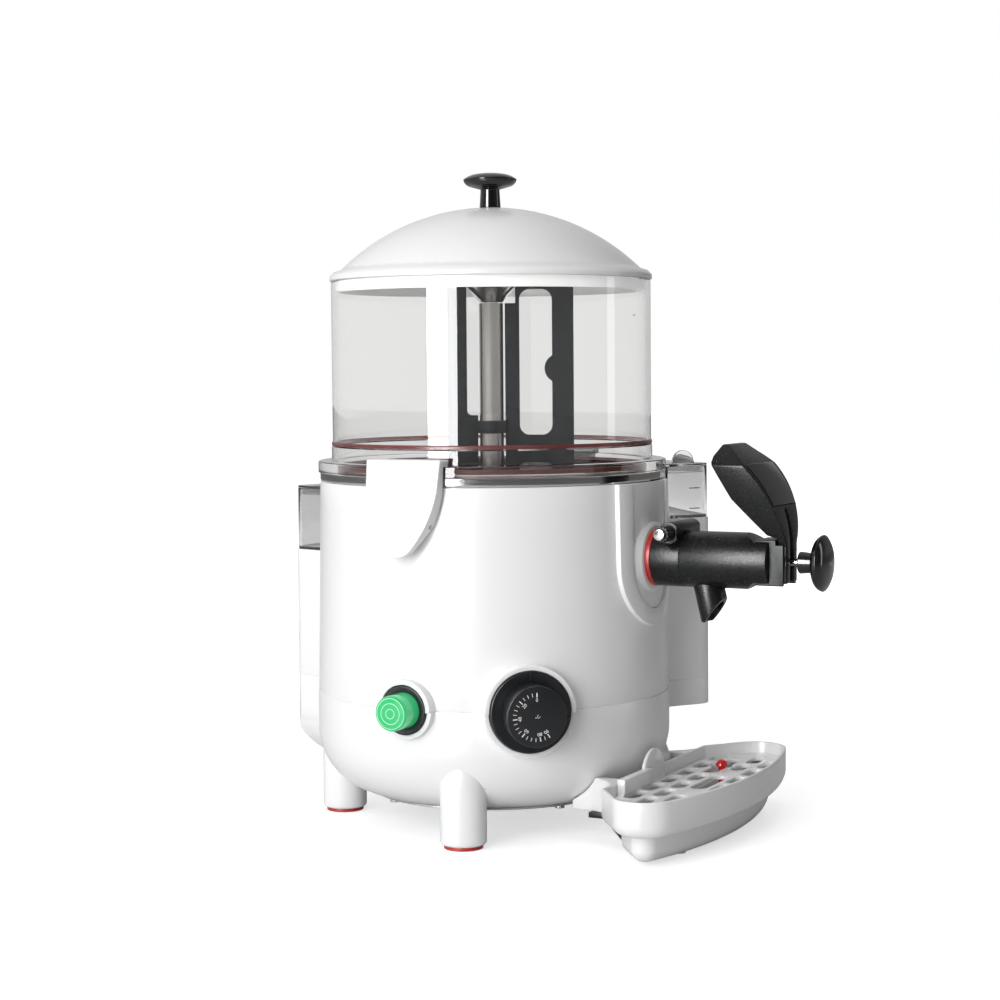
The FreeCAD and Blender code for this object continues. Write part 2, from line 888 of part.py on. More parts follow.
def leg_places():
    """Centre of each leg and the word that names it."""
    for quarter, word in enumerate(("right", "back", "left", "front")):
        angle = d.leg_angle + 90.0 * quarter
        yield word, d.leg_circle * cos(angle), d.leg_circle * sin(angle)


def make_lower_shell():
    split, floor = d.casing_split_height, d.casing_floor_height
    wall = d.shell_wall
    radius = d.casing_low_radius
    form = turned("lower_form", Outline().corner(0, floor)
                  .corner(radius, floor, d.belly_round).corner(radius, split).corner(0, split))
    hollow = turned("lower_hollow", Outline().corner(0, floor + wall)
                    .corner(radius - wall, floor + wall, d.belly_round - wall)
                    .corner(radius - wall, split + OVER).corner(0, split + OVER))
    legs = []
    plugs = []
    for word, x, y in leg_places():
        leg = turned(f"leg_{word}", Outline().corner(0, d.foot_height)
                     .corner(d.leg_radius, d.foot_height, d.foot_height)
                     .corner(d.leg_radius, d.leg_shoulder_height, d.leg_radius)
                     .corner(d.leg_radius / 3, d.leg_top_height)
                     .corner(0, d.leg_top_height))
        legs.append(place(leg, (x, y, 0)))
        plugs.append(cylinder(f"foot_hole_{word}", d.foot_plug_radius + d.part_gap,
                              d.foot_plug_length + d.part_gap + OVER,
                              (x, y, d.foot_height - OVER)))
    lap_outer = casing_radius(split) - wall - d.part_gap
    lap = turned("lap_ring", Outline().corner(lap_outer - wall, split - d.lap_height)
                 .corner(radius - wall / 2, split - d.lap_height)
                 .corner(radius - wall / 2, split).corner(lap_outer, split)
                 .corner(lap_outer, split + d.lap_height)
                 .corner(lap_outer - wall, split + d.lap_height))
    outer = fuse("lower_outer", form, *legs,
                 housing("gauge_lower", GAUGE, d.gauge_foot_height, split),
                 tank_foot("tank_lower", 0, split),
                 *collars("lower", d.collar_lower_lip))
    opening = cylinder("base_opening", d.base_opening_radius, wall + OVER * 2,
                       (0, 0, floor - OVER))
    inner = fuse("lower_inner", hollow, opening, *plugs,
                 housing("gauge_lower_hollow", GAUGE, d.gauge_foot_height + wall,
                         split + OVER, wall),
                 tank_foot("tank_lower_hollow", wall, split + OVER))
    far = d.tank_reach * 2
    above = block("above_split", (-far, -far, split), (far, far, d.gauge_shelf_height))
    shell = cut("lower_cut", outer, inner, above)
    keep("lower_shell", cut("lower_shell_cut", fuse("lower_with_lap", shell, lap),
                            *collar_holes("lower"),
                            radial_cylinder("gland_hole", d.gland_body_radius + d.running_gap,
                                            d.housing_root, d.gland_end,
                                            d.gland_angle, d.gland_height),
                            *base_screw_holes("lower_screw_hole")))


def tank_foot(name, inset, top):
    """Lower end of the tank housing, drawn in towards the casing at the bottom."""
    half = d.tank_half_width - inset
    reach = d.tank_reach - inset
    bottom = d.tank_foot_height + inset
    rounding = d.tank_foot_round - inset
    plan = plate(f"{name}_plan", housing_plan(half, reach, d.housing_round - inset), bottom, top)
    across = front(f"{name}_across", mirrored_pair([(half, top, None), (half, bottom, rounding)]),
                   d.housing_root, reach)
    outwards = profile(f"{name}_outwards", Outline().corner(d.housing_root, bottom)
                       .corner(reach, bottom, rounding).corner(reach, top)
                       .corner(d.housing_root, top), half)
    return turn_about_z(common(name, plan, across, outwards), d.tank_angle)


def base_screw_holes(name):
    """Pilot holes for the base screws in the floor of the lower shell."""
    return [cylinder(f"{name}_{i}", d.base_screw_radius + d.running_gap,
                     d.shell_wall + OVER * 2, (x, y, d.casing_floor_height - OVER))
            for i, x, y in base_screw_places()]


def base_screw_places():
    for i in range(4):
        angle = size(90.0 * i + 60.0)
        yield i, d.base_screw_circle * cos(angle), d.base_screw_circle * sin(angle)


def make_base():
    """Rubber feet, the steel base plate and its screws."""
    feet = []
    for word, x, y in leg_places():
        pad = cylinder(f"foot_pad_{word}", d.foot_radius, d.foot_height, (x, y, 0))
        plug = cylinder(f"foot_plug_{word}", d.foot_plug_radius,
                        d.foot_height + d.foot_plug_length, (x, y, 0))
        feet.append(fuse(f"foot_{word}", pad, plug))
    keep("rubber_feet", group("feet", *feet))

    thickness = d.base_plate_thickness
    bottom = d.casing_floor_height - thickness
    holes = [cylinder(f"plate_hole_{i}", d.base_screw_radius + d.part_gap,
                      thickness + OVER * 2, (x, y, bottom - OVER))
             for i, x, y in base_screw_places()]
    keep("base_plate", cut("base_plate_cut",
                           cylinder("base_disc", d.base_plate_radius, thickness, (0, 0, bottom)),
                           *holes))

    screws = []
    for i, x, y in base_screw_places():
        head = cylinder(f"screw_head_{i}", d.base_screw_head_radius, d.base_screw_head_height,
                        (x, y, bottom - d.base_screw_head_height))
        shank = cylinder(f"screw_shank_{i}", d.base_screw_radius,
                         thickness + d.shell_wall, (x, y, bottom))
        screws.append(fuse(f"screw_{i}", head, shank))
    keep("base_screws", group("screws", *screws))


# ---------------------------------------------------------------- pans, bowl and lid


def make_pans():
    """The steel water jacket, and the product pan that hangs in it with its outlet."""
    wall = d.sheet_wall
    rim = d.casing_rim_height
    tube_hole = d.centre_tube_radius + d.running_gap
    radius = d.jacket_radius
    edge = d.casing_rim_radius - wall / 8
    floor = d.jacket_floor_height
    jacket = turned("jacket_turned", Outline().corner(tube_hole, floor)
                    .corner(radius, floor, d.jacket_round).corner(radius, rim)
                    .corner(edge, rim, wall * 1.5).corner(edge, d.jacket_rim_top_height)
                    .corner(edge - wall, d.jacket_rim_top_height)
                    .corner(edge - wall, rim + wall).corner(radius - wall, rim + wall)
                    .corner(radius - wall, floor + wall, d.jacket_round - wall)
                    .corner(tube_hole, floor + wall))
    holes = [cylinder(f"jacket_heater_hole_{word}", d.heater_tube_radius + d.running_gap,
                      wall + OVER * 2, (x, y, floor - OVER))
             for word, x, y in heater_tails()]
    outlet_hole = cylinder("jacket_outlet_hole", d.outlet_radius + d.running_gap,
                           d.jacket_radius, (0, -d.pan_radius, d.tap_height), "-y")
    keep("jacket_pan", cut("jacket_cut", jacket, outlet_hole, *holes))

    radius = d.pan_radius
    floor = d.pan_floor_height
    flange = rim + wall
    pan = turned("pan_turned", Outline().corner(tube_hole, floor)
                 .corner(radius, floor, d.pan_round).corner(radius, flange)
                 .corner(d.pan_flange_radius, flange)
                 .corner(d.pan_flange_radius, flange + wall).corner(radius, flange + wall)
                 .corner(radius, d.pan_top_height).corner(radius - wall, d.pan_top_height)
                 .corner(radius - wall, floor + wall, d.pan_round - wall)
                 .corner(tube_hole, floor + wall))
    start = d.pan_radius - d.pan_round / 2
    outlet = cylinder("outlet_form", d.outlet_radius, d.outlet_end - start,
                      (0, -start, d.tap_height), "-y")
    bead = cylinder("outlet_bead", d.outlet_bead_radius, d.outlet_bead_width,
                    (0, -(d.outlet_end - d.outlet_bead_width), d.tap_height), "-y")
    bore = cylinder("outlet_bore", d.outlet_radius - wall, d.outlet_end,
                    (0, -(start - d.pan_round), d.tap_height), "-y")
    inside = ring("pan_clear", 0.01, d.pan_radius - wall, d.pan_floor_height + wall,
                  d.pan_top_height)
    stub = cut("outlet_outside", fuse("outlet_solid", outlet, bead), inside)
    keep("product_pan", cut("pan_cut", fuse("pan_with_outlet", pan, stub), bore))


def make_bowl():
    """The clear bowl, with a seal under its flange and one inside it."""
    flange_bottom = d.jacket_rim_top_height
    flange_top = flange_bottom + d.bowl_flange_height
    seat = d.casing_rim_height + d.sheet_wall * 2
    inner = d.bowl_radius - d.bowl_wall
    keep("bowl", turned("bowl_turned", Outline().corner(inner, flange_bottom)
                        .corner(d.bowl_flange_radius, flange_bottom, 1)
                        .corner(d.bowl_flange_radius, flange_top, 1)
                        .corner(d.bowl_step_radius, flange_top)
                        .corner(d.bowl_step_radius, d.bowl_step_height)
                        .corner(d.bowl_radius, d.bowl_step_height + d.bowl_wall / 3)
                        .corner(d.bowl_radius, d.bowl_top_height, d.bowl_wall / 3)
                        .corner(inner, d.bowl_top_height, d.bowl_wall / 3)))
    keep("rim_seal", ring("rim_seal_turned", d.pan_radius + d.part_gap * 6,
                          d.pan_flange_radius - d.part_gap * 3, seat, flange_bottom))
    foot = d.pan_top_height
    keep("bowl_seal", turned("bowl_seal_turned", Outline()
                             .corner(d.pan_radius - d.sheet_wall * 2, foot)
                             .corner(inner - d.part_gap, foot)
                             .corner(inner - d.part_gap, foot + d.bowl_seal_height)
                             .corner(inner - d.bowl_wall, foot + d.bowl_seal_height)
                             .corner(d.pan_radius - d.sheet_wall * 2,
                                     foot + d.bowl_seal_height / 2)))


def knob_outline(stem, cap, length, cap_start, bore):
    """A mushroom knob with its foot at zero height, bored for a screw or a rod."""
    edge = (cap_start + length) / 2
    depth = length - d.lid_screw_head_radius / 2
    crown_reach = cap * KNOB_CROWN_SHARE
    crown_rise = cap / 20
    crown = (crown_reach * crown_reach + crown_rise * crown_rise) / (crown_rise * 2)
    outline = Outline().corner(bore, 0).corner(stem, 0)
    outline.corner(stem * KNOB_NECK_SHARE, cap_start - stem / 3)
    outline.corner(cap * KNOB_BRIM_SHARE, cap_start)
    outline.arc(cap, edge, cap / 3)
    outline.arc(crown_reach, length - crown_rise, cap * 0.9)
    outline.arc(0, length, crown)
    return outline.corner(0, depth).corner(bore, depth)


def make_lid():
    """Domed lid with its knob and the screw that holds it."""
    top, wall = d.lid_top_height, d.lid_wall
    hole = d.lid_screw_radius + d.part_gap
    seat = d.bowl_top_height + d.part_gap
    skirt = d.bowl_radius - d.bowl_wall - d.part_gap
    shoulder = d.lid_shoulder_radius
    inner_shoulder = shoulder - wall
    inner_dome = d.lid_dome_radius - wall
    seat_radius = d.lid_screw_head_radius + d.part_gap
    inner_drop = inner_dome - root(inner_dome * inner_dome - inner_shoulder * inner_shoulder)
    screw_seat = top - wall - inner_dome + root(
        inner_dome * inner_dome - seat_radius * seat_radius)
    keep("lid", turned("lid_turned", Outline().corner(hole, top)
                       .arc(shoulder, d.lid_shoulder_height, -d.lid_dome_radius)
                       .corner(d.lid_radius - wall, d.lid_shoulder_height - wall / 2)
                       .corner(d.lid_radius, d.lid_shoulder_height - wall * 1.5)
                       .corner(d.lid_radius, seat).corner(skirt, seat)
                       .corner(skirt, d.lid_skirt_height)
                       .corner(skirt - d.lid_skirt_wall, d.lid_skirt_height)
                       .corner(skirt - d.lid_skirt_wall, top - wall - inner_drop - wall)
                       .corner(inner_shoulder, top - wall - inner_drop)
                       .arc(seat_radius, screw_seat, inner_dome)
                       .corner(hole, screw_seat)))
    knob = turned("lid_knob_turned",
                  knob_outline(d.knob_stem_radius, d.knob_radius, d.knob_length,
                               d.knob_cap_start, d.lid_screw_radius + d.running_gap / 2))
    keep("lid_knob", place(knob, (0, 0, top)))
    head = cylinder("lid_screw_head", d.lid_screw_head_radius, wall, (0, 0, screw_seat - wall))
    shank = cylinder("lid_screw_shank", d.lid_screw_radius, wall * 2 + d.knob_length / 2,
                     (0, 0, screw_seat - wall))
    keep("lid_screw", fuse("lid_screw_solid", head, shank))


# ---------------------------------------------------------------- stirrer and its drive


def make_drive():
    """Steel centre tube with bushes, and the shaft that turns in it."""
    tube_inner = d.centre_tube_radius - d.centre_tube_wall
    bottom, top = d.centre_tube_bottom_height, d.centre_tube_top_height
    keep("centre_tube", ring("centre_tube_turned", tube_inner, d.centre_tube_radius,
                             bottom, top))
    bush_inner = d.shaft_radius + d.running_gap
    bush_outer = tube_inner - d.running_gap
    keep("shaft_bushes", group(
        "bushes", ring("bush_low", bush_inner, bush_outer, bottom, bottom + d.bush_length),
        ring("bush_high", bush_inner, bush_outer, top - d.bush_length, top)))
    keep("drive_shaft", cylinder("shaft", d.shaft_radius,
                                 d.shaft_top_height - d.shaft_bottom_height,
                                 (0, 0, d.shaft_bottom_height)))
    snug = d.shaft_radius + d.running_gap / 2
    foot = top + d.part_gap * 2
    keep("drive_cap", turned("drive_cap_turned", Outline().corner(snug, foot)
                             .corner(d.centre_tube_radius, foot)
                             .corner(d.drive_cap_radius, foot + d.drive_cap_height * 0.8)
                             .corner(d.drive_cap_radius, foot + d.drive_cap_height)
                             .corner(snug, foot + d.drive_cap_height)))
    hub_top = foot + d.drive_cap_height + d.stirrer_hub_height
    nut = turned("stirrer_nut_turned", Outline().corner(snug, hub_top)
                 .corner(d.stirrer_nut_radius, hub_top)
                 .corner(d.stirrer_nut_radius, hub_top + d.stirrer_nut_height, d.shaft_radius / 2)
                 .corner(0, hub_top + d.stirrer_nut_height)
                 .corner(0, d.shaft_top_height).corner(snug, d.shaft_top_height))
    keep("stirrer_nut", nut)


def stirrer_window(name, near, far, bottom, top, rounding):
    outline = Outline().corner(near, bottom, rounding).corner(far, bottom, rounding)
    outline.corner(far, top, rounding).corner(near, top, rounding)
    return profile(name, outline, d.stirrer_thickness)


def make_stirrer():
    """Flat paddle frame that hangs from the drive cap round the centre tube."""
    hub_bottom = d.centre_tube_top_height + d.part_gap * 2 + d.drive_cap_height
    hub_top = hub_bottom + d.stirrer_hub_height
    foot = d.pan_floor_height + d.sheet_wall + d.stirrer_floor_gap
    inner = d.centre_tube_radius + d.stirrer_tube_gap
    mid_low = d.stirrer_mid_height - d.stirrer_mid_bar
    foot_top = foot + d.stirrer_foot_bar
    reach = d.stirrer_reach
    frame = profile("stirrer_frame", Outline().corner(inner, foot)
                    .corner(d.stirrer_foot_reach, foot, d.stirrer_foot_round)
                    .corner(d.stirrer_foot_reach - d.stirrer_foot_bar / 2, foot_top,
                            d.stirrer_foot_round)
                    .corner(reach, foot_top).corner(reach, hub_top, d.stirrer_bar_width / 2)
                    .corner(inner, hub_top), d.stirrer_thickness / 2)
    far = reach - d.stirrer_bar_width
    window_round = d.stirrer_window_round
    upper = stirrer_window("stirrer_upper_window", inner + d.stirrer_inner_bar, far,
                           d.stirrer_mid_height, d.stirrer_window_top_height, window_round)
    lower = stirrer_window("stirrer_lower_window", inner + d.stirrer_inner_bar, far,
                           foot_top, mid_low, d.stirrer_window_round / 2)
    bump = cylinder("stirrer_bump", d.stirrer_bump_radius, d.stirrer_thickness,
                    (reach - d.stirrer_bump_radius, -d.stirrer_thickness / 2,
                     d.stirrer_bump_height), "+y")
    short = d.stirrer_short_reach
    corner_round = d.stirrer_short_bar / 2
    other = profile("stirrer_other", Outline().corner(-short, mid_low, corner_round)
                    .corner(-inner, mid_low).corner(-inner, hub_top)
                    .corner(-short, hub_top, corner_round), d.stirrer_thickness / 2)
    other_window = stirrer_window("stirrer_other_window", d.stirrer_short_bar - short,
                                  inner, d.stirrer_short_window_height, hub_bottom,
                                  d.stirrer_short_bar / 4)
    hub = cylinder("stirrer_hub", d.stirrer_hub_radius, d.stirrer_hub_height, (0, 0, hub_bottom))
    collar_low = d.stirrer_collar_height - d.stirrer_collar_width / 2
    collar_form = cylinder("stirrer_collar", d.stirrer_collar_radius + d.stirrer_tube_gap,
                           d.stirrer_collar_width, (0, 0, collar_low))
    foot_collar = cylinder("stirrer_foot_collar", d.stirrer_collar_radius + d.stirrer_tube_gap,
                           d.stirrer_foot_bar, (0, 0, foot))
    tube_way = cylinder("stirrer_tube_way", d.centre_tube_radius + d.part_gap,
                        hub_bottom - foot + OVER, (0, 0, foot - OVER))
    bore = cylinder("stirrer_bore", d.shaft_radius + d.running_gap / 2,
                    d.shaft_top_height, (0, 0, foot))
    right = fuse("stirrer_right", cut("stirrer_frame_cut", frame, upper, lower), bump)
    left = cut("stirrer_left", other, other_window)
    solid = fuse("stirrer_solid", right, left, hub, collar_form, foot_collar)
    cap_way = cylinder("stirrer_cap_way", d.drive_cap_radius + d.part_gap,
                       d.drive_cap_height + d.part_gap * 2,
                       (0, 0, d.centre_tube_top_height))
    shape = cut("stirrer_cut", solid, tube_way, bore, cap_way)
    keep("stirrer", turn_about_z(shape, d.stirrer_angle))


def make_gear_motor():
    """Gearbox and motor on a bracket that hangs from four posts under the jacket."""
    top = d.gearbox_top_height
    low = top - d.gearbox_height
    half_length, half_width = d.gearbox_length / 2, d.gearbox_width / 2
    offset = d.motor_offset
    box = block("gearbox_box", (offset - half_length, -half_width, low),
                (offset + half_length, half_width, top))
    bore = cylinder("gearbox_bore", d.shaft_radius + d.running_gap,
                    top - d.shaft_bottom_height + OVER, (0, 0, d.shaft_bottom_height - OVER / 2))
    keep("gearbox", cut("gearbox_cut", box, bore))
    keep("motor", cylinder("motor_can", d.motor_radius, low - d.motor_bottom_height,
                           (offset, 0, d.motor_bottom_height)))
    half_length, half_width = d.bracket_length / 2, d.bracket_width / 2
    bracket_top = top + d.bracket_thickness
    sheet = block("bracket_sheet", (-half_length, -half_width, top),
                  (half_length, half_width, bracket_top))
    hole = cylinder("bracket_hole", d.centre_tube_radius, d.bracket_thickness + OVER * 2,
                    (0, 0, top - OVER))
    posts = []
    for i, (across, along) in enumerate(((1, 1), (1, -1), (-1, 1), (-1, -1))):
        x = (half_length - d.bracket_post_radius * 2) * across
        y = (half_width - d.bracket_post_radius * 2) * along
        posts.append(cylinder(f"bracket_post_{i}", d.bracket_post_radius,
                              d.jacket_floor_height - bracket_top, (x, y, bracket_top)))
    keep("motor_bracket", fuse("bracket_solid", cut("bracket_cut", sheet, hole), *posts))


# ---------------------------------------------------------------- heating and controls


def heater_tails():
    """The two places where the heating ring goes down through the jacket floor."""
    for word, angle in (("a", d.heater_tail_angle), ("b", -d.heater_tail_angle)):
        turn = angle + 90.0
        yield word, d.heater_ring_radius * cos(turn), d.heater_ring_radius * sin(turn)


def make_heater():
    loop = doc.addObject("Part::Torus", "heater_loop")
    bind(loop, "Radius1", d.heater_ring_radius)
    bind(loop, "Radius2", d.heater_tube_radius)
    place(loop, (0, 0, d.heater_height))
    gap_half = d.heater_ring_radius * sin(d.heater_tail_angle)
    gap = block("heater_gap", (-gap_half, 0, d.heater_height - d.heater_tube_radius - OVER),
                (gap_half, d.jacket_radius, d.heater_height + d.heater_tube_radius + OVER))
    tails = [cylinder(f"heater_tail_{word}", d.heater_tube_radius,
                      d.heater_height - d.heater_tail_height, (x, y, d.heater_tail_height))
             for word, x, y in heater_tails()]
    keep("heating_ring", fuse("heater_solid", cut("heater_open", loop, gap), *tails))
    distance = d.cutout_distance
    keep("safety_cutout", cylinder("cutout_can", d.cutout_radius, d.cutout_height,
                                   (-distance, distance * 0.6,
                                    d.jacket_floor_height - d.cutout_height)))


def control_box(name, side, inner, outer, angle):
    """Body of a control behind the casing wall."""
    half = side / 2
    box = block(f"{name}_form", (inner, -half, d.control_height - half),
                (outer, half, d.control_height + half))
    return turn_about_z(fuse_one(name, box), angle)


def make_switch():
    angle, height = d.switch_angle, d.control_height
    seat = d.collar_seat_radius
    way = d.switch_button_radius + d.part_gap
    neck = radial_cylinder("switch_neck", d.switch_neck_radius, d.switch_body_outer - OVER,
                           seat, angle, height)
    box = control_box("switch_box", d.switch_body_side, d.switch_body_inner,
                      d.switch_body_outer, angle)
    button_start = d.switch_body_outer + d.switch_travel + OVER * 2
    way_in = radial_cylinder("switch_way", way, button_start - d.switch_travel - OVER,
                             d.switch_button_end, angle, height)
    keep("switch_body", cut("switch_body_cut", fuse("switch_body_solid", box, neck), way_in))
    depth = d.switch_bezel_depth
    bezel = turned("switch_bezel_turned", Outline().corner(way, 0)
                   .corner(d.switch_bezel_radius, 0)
                   .corner(d.switch_bezel_radius, depth, depth / 3).corner(way, depth * 0.8))
    keep("switch_bezel", turn_about_z(
        fuse_one("switch_bezel_group", place(bezel, (seat, 0, height), "+x")), angle))
    length = d.switch_button_end - button_start
    button = turned("switch_button_turned", Outline().corner(0, 0)
                    .corner(d.switch_button_radius, 0)
                    .corner(d.switch_button_radius, length - OVER, d.switch_button_radius / 8)
                    .corner(0, length))
    keep("switch_button", turn_about_z(
        fuse_one("switch_button_group", place(button, (button_start, 0, height), "+x")), angle))


def make_thermostat():
    angle, height = d.thermostat_angle, d.control_height
    seat = d.collar_seat_radius
    spindle = d.thermostat_spindle_radius
    box = control_box("thermostat_box", d.thermostat_body_side, d.thermostat_body_inner,
                      d.thermostat_body_outer, angle)
    bush = radial_cylinder("thermostat_bush", d.thermostat_bush_radius,
                           d.thermostat_body_outer - OVER, seat, angle, height)
    spindle_start = d.thermostat_body_outer - d.thermostat_bush_radius
    way = radial_cylinder("thermostat_way", spindle + d.running_gap, spindle_start - OVER,
                          seat + OVER, angle, height)
    keep("thermostat_body", cut("thermostat_body_cut",
                                fuse("thermostat_body_solid", box, bush), way))
    depth = d.thermostat_bezel_depth
    inner = d.thermostat_knob_radius * 0.6
    bezel = turned("thermostat_bezel_turned", Outline().corner(spindle + d.part_gap, 0)
                   .corner(d.thermostat_bezel_radius, 0)
                   .corner(d.thermostat_bezel_radius, depth, depth / 5)
                   .corner(d.thermostat_knob_radius + d.part_gap * 2, depth - OVER)
                   .corner(inner, depth - OVER).corner(spindle + d.part_gap, depth - OVER))
    keep("thermostat_bezel", turn_about_z(
        fuse_one("thermostat_bezel_group", place(bezel, (seat, 0, height), "+x")), angle))
    start = seat + depth - OVER + d.part_gap
    length = d.thermostat_knob_end - start
    shaft_depth = length * 0.7
    knob = turned("thermostat_knob_turned", Outline()
                  .corner(spindle + d.running_gap / 2, 0)
                  .corner(d.thermostat_knob_radius, 0)
                  .corner(d.thermostat_knob_radius, length, OVER)
                  .corner(0, length).corner(0, shaft_depth)
                  .corner(spindle + d.running_gap / 2, shaft_depth))
    keep("thermostat_knob", turn_about_z(
        fuse_one("thermostat_knob_group", place(knob, (start, 0, height), "+x")), angle))
    keep("thermostat_spindle", radial_cylinder("spindle", spindle, spindle_start,
                                               start + shaft_depth, angle, height))


def make_wiring():
    """The gland where the mains lead goes in, and the terminal block behind it."""
    length = d.gland_end - d.housing_root
    flange = d.gland_end - d.casing_low_radius
    gland = turned("gland_turned", Outline().corner(d.gland_bore_radius, 0)
                   .corner(d.gland_body_radius, 0)
                   .corner(d.gland_body_radius, length - flange)
                   .corner(d.gland_flange_radius, length - flange)
                   .corner(d.gland_flange_radius, length, flange / 4)
                   .corner(d.gland_bore_radius, length))
    keep("cord_gland", turn_about_z(
        fuse_one("gland_group", place(gland, (d.housing_root, 0, d.gland_height), "+x")),
        d.gland_angle))
    half_length, half_width = d.terminal_length / 2, d.terminal_width / 2
    floor = d.casing_floor_height
    keep("terminal_block", block("terminals",
                                 (-half_length, d.terminal_distance - half_width, floor),
                                 (half_length, d.terminal_distance + half_width,
                                  floor + d.terminal_height)))


# ---------------------------------------------------------------- side latches


def latch_front(inset, top):
    """The latch seen from outside: broad at the top, drawn to a rounded tip."""
    side = d.latch_side_round - inset
    tip_half = d.latch_tip_half_width - inset / 2
    shoulder = d.latch_tip_shoulder_height + inset
    waist = d.latch_waist_half_width - inset
    outline = Outline().corner(-tip_half, shoulder).arc(tip_half, shoulder, d.latch_tip_round)
    outline.arc(waist, d.latch_waist_height, side)
    outline.corner(d.latch_half_width - inset, top)
    outline.corner(inset - d.latch_half_width, top)
    outline.corner(-waist, d.latch_waist_height)
    return outline.arc(-tip_half, shoulder, side)


def face_distance(height):
    """Distance of the sloping latch face from the axis at a height."""
    top = d.jacket_rim_top_height + d.bowl_flange_height + d.latch_hook_gap + d.latch_hook_thickness
    share = (top - height) / (top - d.latch_tip_height)
    return d.latch_face_top + (d.latch_face_tip - d.latch_face_top) * share


def make_latches():
    """Two hooked latches that clamp the bowl flange, each on its own pin."""
    hook = d.jacket_rim_top_height + d.bowl_flange_height + d.latch_hook_gap
    top = hook + d.latch_hook_thickness
    low = d.latch_tip_height - d.latch_wall
    wall = d.latch_wall
    for side, angle in (("left", 180.0), ("right", 0.0)):
        name = f"latch_{side}"
        outside = closed_front(f"{name}_outside", latch_front(0, top),
                               d.latch_hook_inner, d.latch_face_tip + wall)
        section = profile(f"{name}_section", Outline()
                          .corner(d.latch_hook_inner, hook).corner(d.latch_hook_inner, top)
                          .corner(face_distance(top), top, OVER * 1.5)
                          .corner(face_distance(low), low)
                          .corner(face_distance(low) - wall * 1.5, low)
                          .corner(d.latch_back, d.latch_pivot_height)
                          .corner(d.latch_back, hook), d.latch_half_width + OVER)
        hollow = closed_front(f"{name}_inside", latch_front(wall, hook),
                              d.housing_root, d.latch_face_tip + wall)
        cavity = profile(f"{name}_cavity", Outline()
                         .corner(d.housing_root, low - OVER).corner(d.housing_root, hook)
                         .corner(face_distance(hook) - wall, hook)
                         .corner(face_distance(low - OVER) - wall, low - OVER),
                         d.latch_half_width)
        pin_way = cylinder(f"{name}_pin_way", d.latch_pin_radius + d.running_gap,
                           d.latch_half_width * 2 + OVER * 2,
                           (d.latch_pivot_distance, d.latch_half_width + OVER,
                            d.latch_pivot_height), "-y")
        shape = cut(f"{name}_cut", common(f"{name}_solid", outside, section),
                    common(f"{name}_hollow", hollow, cavity), pin_way)
        keep(name, turn_about_z(shape, angle))
    pins = []
    half = d.latch_pin_half_length
    for side, angle in (("left", 180.0), ("right", 0.0)):
        pin = cylinder(f"pin_{side}_form", d.latch_pin_radius, half * 2,
                       (d.latch_pivot_distance, half, d.latch_pivot_height), "-y")
        pins.append(turn_about_z(fuse_one(f"pin_{side}", pin), angle))
    keep("latch_pins", group("latch_pin_pair", *pins))


def closed_front(name, outline, near, far):
    """An outline whose last arc ends on its first corner, as a slab along X."""
    first = outline.points[0]
    last = outline.points.pop()
    outline.points[0] = (first[0], first[1], first[2], last[3])
    return front(name, outline, near, far)


# ---------------------------------------------------------------- tap


def tap_turned(name, outline):
    """A turned piece of the tap; its heights run out from the casing axis."""
    return place(turned(name, outline), (0, 0, d.tap_height), "-y")


def make_shield():
    """White plate that fills the recess, with a boss round the outlet."""
    top = d.casing_rim_height
    slab = front_slab("shield_slab", d.shield_half_width, d.shield_bottom_height, top,
                      d.housing_root, d.shield_boss_end + OVER)
    band = casing_band("shield_band", d.shield_proud - d.shield_wall, d.shield_proud,
                       d.shield_bottom_height, top)
    boss_start = d.casing_rim_radius - d.shield_wall
    boss = tap_turned("shield_boss", Outline().corner(0, boss_start)
                      .corner(d.shield_boss_root_radius, boss_start)
                      .corner(d.shield_boss_root_radius, d.casing_rim_radius)
                      .corner(d.shield_boss_radius, d.shield_boss_end, d.shield_wall)
                      .corner(0, d.shield_boss_end))
    hole = cylinder("shield_hole", d.outlet_radius + d.running_gap, d.housing_root,
                    (0, -d.housing_root, d.tap_height), "-y")
    keep("tap_shield", cut("shield_cut", fuse("shield_solid", common("shield_plate", slab, band),
                                              boss), hole))
    keep("tap_seal", tap_turned("tap_seal_turned", Outline()
                                .corner(d.outlet_radius + d.running_gap, d.shield_boss_end)
                                .corner(d.tap_radius, d.shield_boss_end)
                                .corner(d.tap_radius, d.shield_boss_end + d.tap_seal_width)
                                .corner(d.outlet_radius + d.running_gap,
                                        d.shield_boss_end + d.tap_seal_width)))


def lock_cylinder(name, radius, near, far):
    """A round piece across the top of the tap; near and far are X places."""
    rise = d.tap_height + d.lock_boss_rise
    return cylinder(name, radius, size(far) - size(near), (near, -d.lock_boss_distance, rise),
                    "+x")


